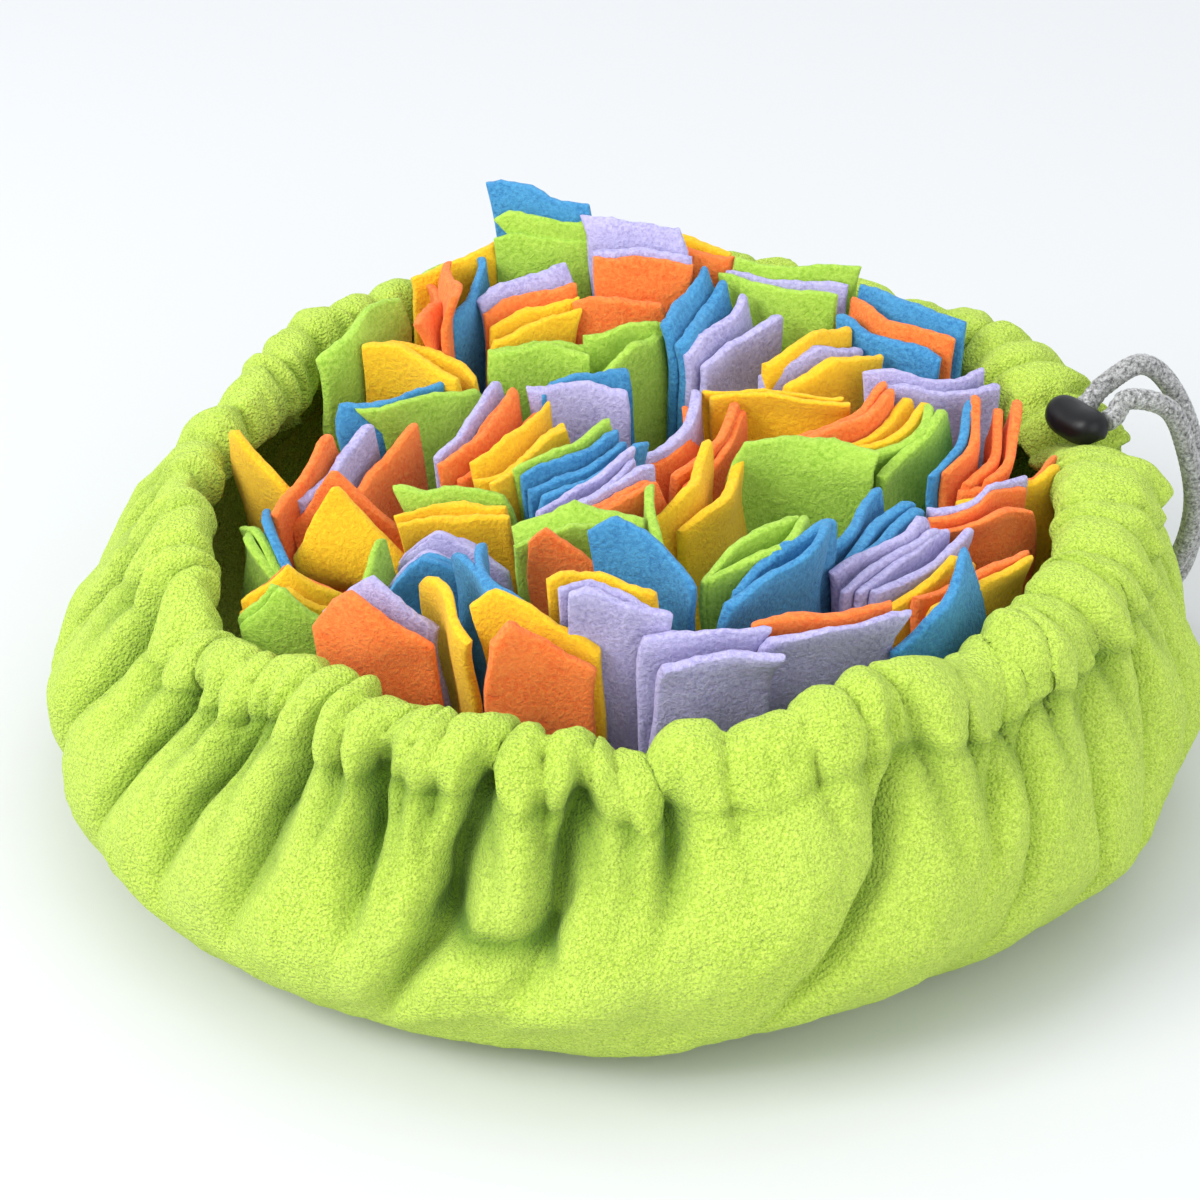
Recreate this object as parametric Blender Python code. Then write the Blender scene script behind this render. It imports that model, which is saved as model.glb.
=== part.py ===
# A snuffle mat for pets: one disc of lime fleece drawn up by a cord into a low bowl, its base
# sewn full of fleece strips in five colours. Table values are millimetres and degrees; angles
# run anticlockwise from +X seen from above, and the camera side of the mat is at -90 degrees.

import bmesh
import bpy
import numpy as np
from mathutils import Vector
from mathutils.bvhtree import BVHTree

MM = 0.001

# ---------------------------------------------------------------- driving sizes, millimetres
FLEECE = 3.0                    # thickness of the bowl's fleece with its pile
SEAM_HEIGHT = 72.0              # where the casing is stitched to the wall
CASING_RADIUS = 125.0           # middle of the gathered casing
CREST_HEIGHT = 88.0             # top of the casing
CASING_HALF_WIDTH = 10.0        # from its middle to the rows that swell fully
RUFFLE = 3.2                    # how far the casing swells between two gathers
LEAST_RUFFLE = 0.5              # share of it in the flattest ruffle
GOLDEN_SHARE = 0.618            # step that spreads the ruffles' sizes evenly
RUFFLE_FULLNESS = 0.6           # power of a ruffle's arch: lower is fuller, with narrower gathers
RUFFLE_SINK = 0.6               # how far the gathers lie under the casing's mean surface
CREASE_SHARPNESS = 2.6          # power of a wall crease's flanks: 1 is a straight V
PUFF = 0.05                     # the wall's swell between two creases, as a share of their distance
BULGE_HEIGHT = 34.0             # where the wall is widest
DRAWN_HEIGHT = 76.0             # from here up the wall has the radius of its drawn-in casing
COLUMNS_IN_FOLD = (0.0, 0.14, 0.38, 0.62, 0.86)

STRIP_WIDTH = 32.0
STRIP_THICKNESS = 2.2
STRIP_GAP = 0.8                 # air between neighbouring strips
LEAST_FALL = 0.5                # least fall of a top edge to either of its ends
PEAK_INSET = 0.08               # least distance of its peak from its ends, as a share of it
LEAN_CURVE = 1.4                # power by which a strip leans more and more on its way up
SEAT_GAP = 0.3                  # air between pieces that touch
ROOT_CLEARANCE = 2.0            # from a root's corners to the foot of the wall
ROOT_TOP = 7.0                  # top of the stitched root of a bundle
ROOT_DRAW = 0.93                # a root lies this share of its strips' distance from the middle

CORD_DIAMETER = 6.0
CORD_END_GAP = 0.3              # from the lock's side to the middle of the cord's end
LOCK_LENGTH = 20.0
LOCK_DEPTH = 12.0
LOCK_HEIGHT = 12.0
LOCK_ANGLE = 12.0               # place of the lock on the casing
LOCK_HEADING = -55.0            # direction of its long axis
LOCK_HOLES = 10.0               # distance between its two cord holes
LOCK_DENT = 9.0                 # depth of the dent in the casing where it lies
LOCK_DENT_WIDTH = 6.0           # and how far round the casing the dent spreads, in degrees
LOCK_BLUNTNESS = 3.2            # power of its outline: higher has squarer ends
LOCK_END = 0.06                 # share of its thickness at the very ends
LOCK_HOLLOW = 0.22              # depth of the hollow in its back, and
LOCK_BELLY = 0.72               # height of its flattened belly, as shares of half its height
LOCK_RINGS = 11
LOCK_SIDES = 14

# The section of the bowl, from the edge of its underside over the casing to its inner floor.
# fold and frill are the shares of a wall fold and of a casing ruffle that a row takes.
PROFILE_COLUMNS = ("radius", "height", "fold", "frill")
PROFILE = (
    (118.0, 0.0, 0.00, 0.0),
    (136.0, 2.6, 0.05, 0.0),
    (149.0, 10.5, 0.20, 0.0),
    (156.5, 22.0, 0.50, 0.0),
    (157.5, 35.5, 0.80, 0.0),
    (153.0, 49.0, 1.00, 0.0),
    (144.5, 61.0, 1.00, 0.0),
    (136.5, 68.5, 0.85, 0.0),
    (131.5, 72.0, 0.50, 0.2),
    (134.0, 77.0, 0.25, 1.0),
    (133.0, 83.5, 0.15, 1.0),
    (128.0, 88.0, 0.15, 1.0),
    (121.0, 87.0, 0.15, 1.0),
    (117.0, 82.0, 0.15, 1.0),
    (117.0, 75.5, 0.15, 1.0),
    (122.5, 71.0, 0.40, 0.3),
    (139.0, 60.5, 1.00, 0.0),
    (150.0, 46.0, 1.00, 0.0),
    (153.0, 33.0, 0.75, 0.0),
    (149.0, 18.0, 0.40, 0.0),
    (133.0, 5.6, 0.05, 0.0),
    (112.0, 3.0, 0.00, 0.0),
)

# Creases of the wall, one row each: where it starts under the casing, how far round it drifts
# on its way to the floor, how deep it is, what share of the wall's height it runs down, and
# how much steeper its right-hand side is than its left.
FOLD_COLUMNS = ("angle", "drift", "depth", "reach", "steep")
FOLDS = (
    (-184.0, -3.0, 7.0, 0.75, 0.0),
    (-171.0, -4.0, 6.0, 0.80, 0.2),
    (-158.0, -6.0, 7.0, 0.85, 0.0),
    (-145.0, -8.0, 6.5, 0.80, 0.2),
    (-134.0, -7.0, 7.0, 0.80, 0.0),
    (-125.5, -6.0, 7.0, 0.75, -0.2),
    (-116.0, -2.0, 10.0, 0.60, -0.3),
    (-104.5, -4.0, 15.0, 0.82, -0.3),
    (-94.5, -3.0, 15.0, 0.78, -0.4),
    (-87.0, -5.0, 9.0, 0.50, -0.8),
    (-62.0, -22.0, 7.5, 0.85, 0.2),
    (-50.0, -6.0, 5.0, 0.30, 0.0),
    (-45.0, -14.0, 8.0, 0.85, 0.7),
    (-34.0, -13.0, 8.0, 0.90, 0.7),
    (-24.0, -12.0, 8.0, 0.90, 0.6),
    (-13.0, -10.0, 7.0, 0.85, 0.5),
    (-1.0, -7.0, 7.0, 0.80, 0.3),
    (12.0, -5.0, 8.0, 0.70, 0.0),
    (25.0, -3.0, 7.0, 0.80, 0.0),
    (38.0, 3.0, 7.5, 0.75, -0.3),
    (51.0, 5.0, 7.0, 0.85, 0.0),
    (65.0, 6.0, 8.0, 0.80, 0.2),
    (79.0, 4.0, 7.0, 0.70, 0.0),
    (92.0, -4.0, 8.0, 0.85, 0.3),
    (106.0, -6.0, 7.0, 0.80, 0.0),
    (121.0, -3.0, 6.0, 0.70, -0.2),
    (136.0, 4.0, 7.0, 0.80, 0.0),
    (150.0, 5.0, 6.0, 0.75, 0.2),
    (163.0, 2.0, 7.0, 0.80, 0.0),
)

# How the drawn-up bowl is out of round, every 30 degrees from +X: extra radius at the foot,
# at the bulge and at the casing, half the extra width of the casing, and its extra height.
SHAPE_COLUMNS = ("foot", "bulge", "draw", "wide", "rise")
SHAPE = (
    (0.0, -4.0, 2.0, 6.0, 1.0),
    (0.0, -1.0, 3.0, 3.0, 3.0),
    (0.0, 0.0, 0.0, 0.0, 3.0),
    (0.0, 0.0, 0.0, 0.0, 4.0),
    (-2.0, -3.0, -3.0, 0.0, 6.0),
    (-3.0, -5.0, -10.0, -1.0, 4.0),
    (0.0, -1.0, -4.0, -1.0, 0.0),
    (4.0, 2.0, 0.0, 0.0, -1.0),
    (3.0, 2.0, 0.0, 0.0, -3.0),
    (-3.0, 0.0, 0.0, 0.0, -4.0),
    (-9.0, -3.5, 0.0, 1.0, 4.0),
    (-4.0, -3.0, 0.0, 3.0, 1.0),
)

# The sewn bundles. colours has a letter for each strip, from the back one to the front one.
# x, y, z are the middle of the bundle's top edges and heading is the direction of those edges.
# left and right are how far the top edge falls to each end, pitch is the distance between
# tips, step the fall in height, fan the turn and skew the sideways shift from strip to strip.
BUNDLE_COLUMNS = ("name", "colours", "x", "y", "z", "heading", "left", "right",
                  "pitch", "step", "fan", "skew")
BUNDLES = (
    # back of the mat, left to right
    ("back_rim", "g", -85, 63, 106, 50, 8, 4, 5, 0, 0, 0),
    ("back_edges", "oo", -60, 72, 105, 86, 0, 4, 11, -6, 0, 0),
    ("back_mustard", "y", -52, 92, 105, 20, 3, 0, 5, 0, 0, 0),
    ("back_blue", "b", -52, 76, 103, 68, 4, 0, 5, 0, 0, 0),
    ("back_yellow", "yy", -65, 51, 98, -28, 0, 5, 7, -3, 8, 0),
    ("back_tall", "bgg", -25, 96, 112, -4, 0, 3, 5, 5, -4, 0),
    ("back_stack", "poyy", -31, 70, 98, 21, 3, 0, 6, 1, 0, -1),
    ("back_lavender", "ppo", 5, 86, 109, 4, 0, 0, 6, 4, 0, 0),
    ("back_mixed", "ogg", 2, 62, 98, 24, 3, 3, 8, 2, -22, 0),
    ("back_green", "gg", -27, 53, 95, 11, 0, 3, 5, 1, 0, 0),
    ("back_lean", "bbpp", 26, 68, 101, 52, 6, 0, 6, 2, 6, 0),
    ("back_right_orange", "yo", 20, 100, 105, -6, 0, 3, 6, 2, 0, 0),
    ("back_right_green", "gpg", 50, 86, 103, -24, 3, 0, 6, 2, 5, 0),
    ("back_right_blue", "bob", 75, 67, 100, -42, 0, 4, 6, 2, 0, 0),
    ("back_right_yellow", "ypy", 54, 52, 98, 36, 3, 3, 6, 1, 6, 0),
    # left of the middle
    ("mid_blue", "bg", -66, 29, 95, 26, 0, 4, 8, 2, 12, 0),
    ("mid_pair", "bp", -15, 34, 95, 17, 0, 3, 9, 1, 14, 6),
    ("mid_orange", "pooo", -42, 15, 95, 52, 5, 0, 5, 1, 2, 0),
    ("mid_yellow", "yyy", -28, 4, 94, 50, 4, 0, 5, 1, 0, 3),
    ("mid_fan", "ggbbb", -12, -4, 94, 36, 4, 0, 4, 0.5, 0, 0),
    ("mid_lavender", "pppoo", -6, -21, 93, 42, 6, 0, 4, 0.5, 2, 2),
    ("mid_green", "gyy", -47, -15, 90, -4, 0, 3, 6, 2, -6, -3),
    ("arch", "pppbb", -45, -42, 89, -12, 6, 8, 6, 1, -2, -1),
    ("edge_blue", "bby", -36, -72, 84, -70, 0, 5, 6, 1, 0, -3),
    # left rim
    ("big_yellow", "oy", -82, -7, 96, -6, 20, 18, 9, 1, 10, -4),
    ("left_orange", "opo", -82, 6, 93, 60, 10, 0, 5, 1, 2, -10),
    ("left_leaf", "y", -100, 8, 95, -80, 3, 18, 5, 0, 0, 0),
    ("left_rim", "bgg", -100, -22, 85, -58, 3, 5, 5, 1, 0, 0),
    ("left_yellow", "oyy", -88, -41, 85, 4, 12, 12, 5, 0, 3, -2),
    ("big_green", "gg", -85, -54, 86, -8, 14, 16, 5, 2, 3, -3),
    ("green_leaf", "g", -67, -50, 86, -62, 0, 14, 5, 0, 0, 0),
    # front
    ("front_corner", "po", -59, -73, 86, -12, 9, 14, 9, 1, 0, 4),
    ("front_orange", "yo", -22, -92, 83, -6, 3, 12, 8, 0, -22, -6),
    ("front_lavender", "ypp", 0, -86, 84, -7, 0, 4, 5, 0, 0, -3),
    ("corner_orange", "o", -6, -53, 92, -16, 3, 20, 5, 0, 0, 0),
    ("green_pair", "gg", -12, -39, 92, 2, 3, 3, 12, 1, -3, 1),
    ("corner_blue", "b", 9, -62, 89, -34, 3, 9, 5, 0, 0, 0),
    ("centre_leaf", "g", 10, -40, 91, -66, 0, 14, 5, 0, 0, 0),
    # right
    ("tall_yellow", "yy", 20, -14, 94, 62, 12, 0, 9, 0, 12, 0),
    ("big_leaf", "g", 47, 3, 97, 0, 0, 2, 5, 0, 0, 0),
    ("stacked", "yygg", 65, 13, 95, 40, 8, 0, 5, 0, -4, 0),
    ("inner_orange", "pooo", 19, 13, 94, 58, 8, 0, 4.5, 0.5, 0, 0),
    ("inner_yellow", "yy", 39, 23, 96, 5, 0, 2, 6, 1, 4, 0),
    ("back_pair", "oo", 53, 25, 97, 44, 6, 0, 7, 1, 0, 0),
    ("far_orange", "booo", 88, 10, 96, 68, 8, 0, 4.5, 0.5, 0, -3),
    ("far_lavender", "pp", 79, 37, 95, 10, 0, 3, 6, 1, 0, 0),
    ("wave_green", "ggbb", 41, -60, 90, 52, 10, 0, 5, 0.5, -2, 0),
    ("long_blue", "bbb", 61, -34, 92, 60, 8, 0, 4.5, 0.5, 0, 0),
    ("long_lavender", "pppp", 69, -46, 90, 53, 8, 0, 4.5, 0.5, -3, -3),
    ("right_mixed", "poo", 87, -21, 93, 22, 4, 3, 5, 1, 4, 2),
    ("right_rim", "oy", 98, -5, 92, 20, 6, 0, 6, 0, 0, 0),
    ("right_corner", "y", 76, -57, 87, 44, 16, 6, 5, 0, 0, 0),
    ("right_low", "oy", 87, -53, 87, 44, 6, 0, 6, 2, 0, 2),
    ("low_orange", "op", 56, -83, 82, 22, 4, 0, 6, 2, -6, -4),
    ("blue_leaf", "b", 77, -72, 87, 48, 16, 0, 5, 0, 0, 0),
    ("low_lavender", "pp", 28, -95, 80, 13, 3, 0, 6, 2, 0, 0),
)

# Heights at which the strips are kept apart, the number of bends in a strip from its root to
# its tip, and the clear radius that the wall leaves it.
LEVELS = np.concatenate((np.arange(ROOT_TOP, 74.0, 6.0), np.arange(75.0, 118.0, 2.5)))
BENDS = 6
BEND_BELOW = 4.0                # the last bend lies this far below a strip's lower corner
ROOM_COLUMNS = ("height", "radius")
ROOM = ((3.0, 112.0), (12.0, 127.0), (24.0, 136.0), (40.0, 137.0), (56.0, 127.0),
        (66.0, 112.0), (97.0, 110.0), (104.0, 122.0))

# How the strips settle: in each round they are pushed apart and off the wall by these shares of
# an overlap, and drawn back to their wished tips and straightened by these shares of the way.
END_EASE = 0.3                  # a lengthways slide counts as this share of its distance
NEIGHBOUR_REACH = 1.35 * STRIP_WIDTH
PART_SHARE = 0.45
WALL_SHARE = 0.6
TIP_SHARE = 0.04
STRAIGHTEN_SHARE = 0.15
EASED_ROUNDS = 0.7              # share of the rounds over which the drawing back fades
ROOT_ROUNDS = 400
STRIP_ROUNDS = 1000

# Route of the cord: out of the lock, over the wall's shoulder, down behind it, round on the
# floor and back beside itself to the lock. The floor is at half the cord's thickness.
CORD_ON_FLOOR = CORD_DIAMETER / 2 + SEAT_GAP
CORD_ROUTE = (
    (141.0, 41.0, 97.5),
    (150.0, 45.0, 90.0),
    (158.5, 48.0, 73.0),
    (164.0, 52.0, 48.0),
    (163.5, 60.0, 22.0),
    (159.0, 70.0, 7.0),
    (153.0, 83.0, CORD_ON_FLOOR),
    (142.0, 101.0, CORD_ON_FLOOR),
    (126.0, 120.0, CORD_ON_FLOOR),
    (106.0, 138.0, CORD_ON_FLOOR),
    (84.0, 151.0, CORD_ON_FLOOR),
    (62.0, 160.0, CORD_ON_FLOOR),
    (49.0, 161.0, CORD_ON_FLOOR),
    (46.0, 152.0, CORD_ON_FLOOR),
    (56.0, 146.0, CORD_ON_FLOOR),
    (76.0, 138.0, CORD_ON_FLOOR),
    (98.0, 125.0, CORD_ON_FLOOR),
    (117.0, 108.0, CORD_ON_FLOOR),
    (133.0, 89.0, CORD_ON_FLOOR),
    (147.0, 71.0, 5.0),
    (155.0, 59.0, 14.0),
    (160.5, 50.0, 32.0),
    (161.0, 43.5, 52.0),
    (156.0, 38.0, 72.0),
    (148.5, 32.5, 88.0),
)
CORD_LEAD = ((0.0, 0.0), (3.0, 0.8), (8.0, 4.5))     # way out of a hole, and climb on it
CORD_POINTS = 56

COLOURS = {
    "lime": (0.58, 0.80, 0.16, 1.0),
    "g": (0.45, 0.68, 0.12, 1.0),
    "o": (0.90, 0.19, 0.04, 1.0),
    "y": (0.98, 0.56, 0.01, 1.0),
    "b": (0.03, 0.24, 0.50, 1.0),
    "p": (0.35, 0.29, 0.60, 1.0),
    "grey": (0.22, 0.22, 0.21, 1.0),
    "black": (0.012, 0.012, 0.014, 1.0),
}


def table(rows, columns):
    """The rows of a table as a dictionary of arrays, one for each named column."""
    return {name: np.array([row[k] for row in rows]) for k, name in enumerate(columns)}


def smooth_step(x):
    """Rises from 0 to 1 as x goes from 0 to 1, level at both ends."""
    x = np.clip(x, 0.0, 1.0)
    return x * x * (3.0 - 2.0 * x)


def through(values, position, closed):
    """A Catmull-Rom curve through the values, read at positions counted in values."""
    values = np.asarray(values, float)
    count = len(values)
    start = np.floor(position).astype(int)
    if not closed:
        start = np.clip(start, 0, count - 2)
    part = position - start
    index = [start + k for k in (-1, 0, 1, 2)]
    index = [i % count if closed else np.clip(i, 0, count - 1) for i in index]
    a, b, c, d = (values[i] for i in index)
    if values.ndim > 1:
        part = part[..., None]
    return 0.5 * (2 * b + (c - a) * part + (2 * a - 5 * b + 4 * c - d) * part ** 2
                  + (3 * b - a - 3 * c + d) * part ** 3)


# ---------------------------------------------------------------- the fleece bowl
def wall_place(height):
    """How far down the wall a height lies: 0 at the casing's seam, 1 at the floor."""
    return np.clip(1.0 - height / SEAM_HEIGHT, 0.0, 1.0)


def fold_depth(depth, reach, down):
    """Depth of a crease: half formed at the seam, full just below it and gone at its reach."""
    fading = np.clip(1.0 - (down / reach) ** 2, 0.0, 1.0)
    return depth * fading * (0.5 + 0.5 * smooth_step(down / 0.2))


def around(column, angle):
    """A column of the shape table at some angles, by a smooth curve round the bowl."""
    values = table(SHAPE, SHAPE_COLUMNS)[column]
    return through(values, angle % 360.0 / (360.0 / len(SHAPE)), True)


def shell_point(fold, part, radius, height, fold_share, frill_share):
    """Point of the bowl's surface, in millimetres.

    fold counts the creases round the bowl and part is the way from one crease to the next.
    The section's radius and height are changed by the bowl's shape out of round, by the
    creases on both sides and, on the casing, by a ruffle between them."""
    folds = table(FOLDS, FOLD_COLUMNS)
    count = len(FOLDS)
    here = fold % count
    after = (fold + 1) % count
    down = wall_place(height)

    angle_here = folds["angle"][here] + folds["drift"][here] * down
    angle_after = folds["angle"][after] + folds["drift"][after] * down + 360.0 * (fold + 1 >= count)
    angle = angle_here + (angle_after - angle_here) * part

    crease_here = fold_depth(folds["depth"][here], folds["reach"][here], down)
    crease_after = fold_depth(folds["depth"][after], folds["reach"][after], down)
    sharp_here = CREASE_SHARPNESS * 2.0 ** folds["steep"][here]
    sharp_after = CREASE_SHARPNESS * 2.0 ** -folds["steep"][after]
    crease = crease_here * (1.0 - part) ** sharp_here + crease_after * part ** sharp_after
    puff = PUFF * np.radians(angle_after - angle_here) * radius * np.sin(np.pi * part)

    unevenness = LEAST_RUFFLE + np.modf(fold * GOLDEN_SHARE)[0]
    swell = RUFFLE * unevenness * (np.sin(np.pi * part) ** RUFFLE_FULLNESS - RUFFLE_SINK)
    across = np.clip((radius - CASING_RADIUS) / CASING_HALF_WIDTH, -1.0, 1.0)
    on_casing = np.interp(height, (SEAM_HEIGHT - 3.0, SEAM_HEIGHT + 3.0), (0.0, 1.0))
    near_crest = np.interp(height, (SEAM_HEIGHT, SEAM_HEIGHT + 12.0), (0.0, 1.0))
    from_lock = (angle - LOCK_ANGLE + 180.0) % 360.0 - 180.0
    dent = LOCK_DENT * np.exp(-(from_lock / LOCK_DENT_WIDTH) ** 2)

    foot = around("foot", angle) * np.interp(height, (0.0, BULGE_HEIGHT), (1.0, 0.0))
    bulging = np.interp(height, (0.0, BULGE_HEIGHT, DRAWN_HEIGHT), (0.0, 1.0, 0.0))
    bulge = around("bulge", angle) * bulging
    draw = around("draw", angle) * np.interp(height, (BULGE_HEIGHT, DRAWN_HEIGHT), (0.0, 1.0))
    wide = around("wide", angle) * across * on_casing
    rise = around("rise", angle) * height / CREST_HEIGHT

    out = radius + foot + bulge + draw + wide
    out = out - fold_share * (crease - puff) + frill_share * swell * across
    up = height + rise + frill_share * (swell - dent) * near_crest
    turn = np.radians(angle)
    return np.stack(np.broadcast_arrays(out * np.cos(turn), out * np.sin(turn), up), axis=-1)


def shell_grid():
    """All points of the bowl: a row for each line of the section, a column round the bowl."""
    profile = table(PROFILE, PROFILE_COLUMNS)
    fold = np.repeat(np.arange(len(FOLDS)), len(COLUMNS_IN_FOLD))[None, :]
    part = np.tile(COLUMNS_IN_FOLD, len(FOLDS))[None, :]
    section = [profile[name][:, None] for name in PROFILE_COLUMNS]
    return shell_point(fold, part, *section)


# ---------------------------------------------------------------- the strips
def part_boxes(centre_a, centre_b, along_a, along_b, half_a, half_b):
    """The easiest push that parts two flat boxes, for many pairs at once.

    along_* are unit vectors of their long sides and half_* their half lengths and half
    thicknesses. Sliding lengthways is easier than moving apart by END_EASE. The push is given
    for the first box of each pair, zero where they are clear."""
    between = centre_a - centre_b
    across_a = np.stack((-along_a[..., 1], along_a[..., 0]), -1)
    across_b = np.stack((-along_b[..., 1], along_b[..., 0]), -1)
    best = np.full(between.shape[:-1], np.inf)
    least = best.copy()
    amount = best.copy()
    push = np.zeros_like(between)
    boxes = ((half_a, (along_a, across_a)), (half_b, (along_b, across_b)))
    for axis, ease in ((across_a, 1.0), (across_b, 1.0), (along_a, END_EASE), (along_b, END_EASE)):
        reach = sum(half[..., k] * np.abs((side * axis).sum(-1))
                    for half, sides in boxes for k, side in enumerate(sides))
        distance = (between * axis).sum(-1)
        overlap = reach - np.abs(distance)
        least = np.minimum(least, overlap)
        better = overlap * ease < best
        best = np.where(better, overlap * ease, best)
        amount = np.where(better, overlap, amount)
        way = np.where(distance < 0, -1.0, 1.0)[..., None] * axis
        push = np.where(better[..., None], way, push)
    return push * np.where(least > 0, amount, 0.0)[..., None]


def total_push(push, first, second, count):
    """Adds each pair's push to its first member and takes it from its second."""
    total = np.zeros((count,) + push.shape[1:])
    np.add.at(total, first, push)
    np.add.at(total, second, -push)
    return total


def keep_in_room(centre, along, half_width, radius):
    """The push that brings both ends of a section inside a clear radius."""
    push = np.zeros_like(centre)
    for side in (-1.0, 1.0):
        end = centre + side * half_width[..., None] * along
        distance = np.linalg.norm(end, axis=-1)
        over = np.clip(distance - radius, 0.0, None)
        push -= WALL_SHARE * end / np.maximum(distance, 1e-6)[..., None] * over[..., None]
    return push


def unit(heading):
    """Unit vectors in the directions of some headings in degrees."""
    return np.stack((np.cos(np.radians(heading)), np.sin(np.radians(heading))), -1)


def settle_roots(bundles):
    """Places of the stitched roots: under their strips, drawn to the middle, then parted."""
    strips = np.array([len(colours) for colours in bundles["colours"]])
    depth = strips * (STRIP_THICKNESS + STRIP_GAP) - STRIP_GAP
    half = np.stack((np.full(len(strips), STRIP_WIDTH / 2), depth / 2), -1) + SEAT_GAP
    centre = ROOT_DRAW * np.stack((bundles["x"], bundles["y"]), -1)
    along = unit(bundles["heading"])
    first, second = np.triu_indices(len(strips), 1)
    foot = around("foot", np.degrees(np.arctan2(bundles["y"], bundles["x"])))
    room = ROOM[0][1] - ROOT_CLEARANCE + np.minimum(foot, 0.0)
    for _ in range(ROOT_ROUNDS):
        push = part_boxes(centre[first], centre[second], along[first], along[second],
                          half[first], half[second])
        centre = centre + 0.5 * total_push(push, first, second, len(strips))
        centre = centre + keep_in_room(centre, along, half[:, 0], room - half[:, 1] / 2)
    return centre


def strip_list(bundles, roots):
    """Every strip of every bundle with its colour, root, tip and the fall of its top edge."""
    strips = {key: [] for key in ("bundle", "colour", "root", "tip", "top", "root_heading",
                                  "tip_heading", "left", "right")}
    for k, colours in enumerate(bundles["colours"]):
        along = unit(bundles["heading"][k])
        across = np.array((-along[1], along[0]))
        for n, colour in enumerate(colours):
            place = (len(colours) - 1) / 2 - n
            middle = np.array((bundles["x"][k], bundles["y"][k]))
            tip = middle + place * bundles["pitch"][k] * across
            strips["bundle"].append(k)
            strips["colour"].append(colour)
            strips["root"].append(roots[k] + place * (STRIP_THICKNESS + STRIP_GAP) * across)
            strips["tip"].append(tip + place * bundles["skew"][k] * along)
            strips["top"].append(bundles["z"][k] + place * bundles["step"][k])
            strips["root_heading"].append(bundles["heading"][k])
            strips["tip_heading"].append(bundles["heading"][k] + place * bundles["fan"][k])
            strips["left"].append(max(bundles["left"][k], LEAST_FALL))
            strips["right"].append(max(bundles["right"][k], LEAST_FALL))
    return {key: np.array(values) for key, values in strips.items()}


def peak_place(left, right):
    """Where along the top edge its highest point lies, from 0 at the left end to 1."""
    return np.clip(left / (left + right), PEAK_INSET, 1.0 - PEAK_INSET)


def section_span(strips, height):
    """How far each strip reaches to the left and right of its middle at some heights."""
    peak = (peak_place(strips["left"], strips["right"])[:, None] - 0.5) * STRIP_WIDTH
    above = height[None, :] - strips["top"][:, None]
    left = np.clip(1.0 + above / strips["left"][:, None], 0.0, 1.0)
    right = np.clip(1.0 + above / strips["right"][:, None], 0.0, 1.0)
    low = -STRIP_WIDTH / 2 + left * (peak + STRIP_WIDTH / 2)
    high = STRIP_WIDTH / 2 - right * (STRIP_WIDTH / 2 - peak)
    return low, high


def bend_heights(top, left, right):
    """Heights of a strip's bends: evenly from its root to just below its lower corner, then its tip."""
    last = top - np.maximum(left, right) - BEND_BELOW
    even = ROOT_TOP + (last - ROOT_TOP)[:, None] * np.linspace(0.0, 1.0, BENDS - 1)
    return np.column_stack((even, top))


def bend_weights(own, heights):
    """Weights that read each strip's bends at some heights, by straight lines between them."""
    place = np.stack([np.interp(heights, row, np.arange(BENDS)) for row in own])
    return np.clip(1.0 - np.abs(place[..., None] - np.arange(BENDS)), 0.0, 1.0)


def heading_at(strips, place):
    """A strip's heading turns from its root's to its tip's on the way up."""
    turn = strips["tip_heading"] - strips["root_heading"]
    return strips["root_heading"][:, None] + turn[:, None] * place


def room_for(tips, heights):
    """The clear radius inside the wall at some heights, near the tips of some strips."""
    draw = around("draw", np.degrees(np.arctan2(tips[:, 1], tips[:, 0])))[:, None]
    drawn = draw * np.interp(heights, (BULGE_HEIGHT, DRAWN_HEIGHT), (0.0, 1.0))
    return np.interp(heights, *np.array(ROOM).T) + drawn


def settle_strips(strips):
    """Bends of the strips' centre lines, parted from each other and from the wall."""
    count = len(strips["top"])
    own = bend_heights(strips["top"], strips["left"], strips["right"])
    rise = ((own - ROOT_TOP) / (own[:, -1:] - ROOT_TOP))[..., None] ** LEAN_CURVE
    bends = strips["root"][:, None] + (strips["tip"] - strips["root"])[:, None] * rise
    weights = bend_weights(own, LEVELS)
    share = np.clip((LEVELS - ROOT_TOP) / (own[:, -1:] - ROOT_TOP), 0.0, 1.0)
    along = unit(heading_at(strips, share))
    low, high = section_span(strips, LEVELS)
    present = LEVELS[None, :] < strips["top"][:, None]
    middle = 0.5 * (low + high)[..., None] * along
    half = np.stack((0.5 * (high - low), np.full_like(low, (STRIP_THICKNESS + STRIP_GAP) / 2)), -1)
    room = room_for(strips["tip"], LEVELS)

    first, second = np.triu_indices(count, 1)
    near = np.linalg.norm(strips["tip"][first] - strips["tip"][second], axis=-1) < NEIGHBOUR_REACH
    first, second = first[near], second[near]
    both = present[first] & present[second]
    load = np.maximum(0.6 * weights.sum(1), 0.35)[..., None]
    for turn in range(STRIP_ROUNDS):
        centre = np.einsum("slb,sbk->slk", weights, bends)
        spot = centre + middle
        push = part_boxes(spot[first], spot[second], along[first], along[second],
                          half[first], half[second]) * both[..., None]
        move = PART_SHARE * total_push(push, first, second, count)
        move += keep_in_room(spot, along, half[..., 0], room) * present[..., None]
        bends[:, 1:] += (np.einsum("slb,slk->sbk", weights, move) / load)[:, 1:]
        ease = max(0.0, 1.0 - turn / (EASED_ROUNDS * STRIP_ROUNDS))
        bends[:, -1] += TIP_SHARE * ease * (strips["tip"] - bends[:, -1])
        straight = 0.5 * (bends[:, :-2] + bends[:, 2:])
        bends[:, 1:-1] += STRAIGHTEN_SHARE * ease * (straight - bends[:, 1:-1])
    return bends


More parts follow.
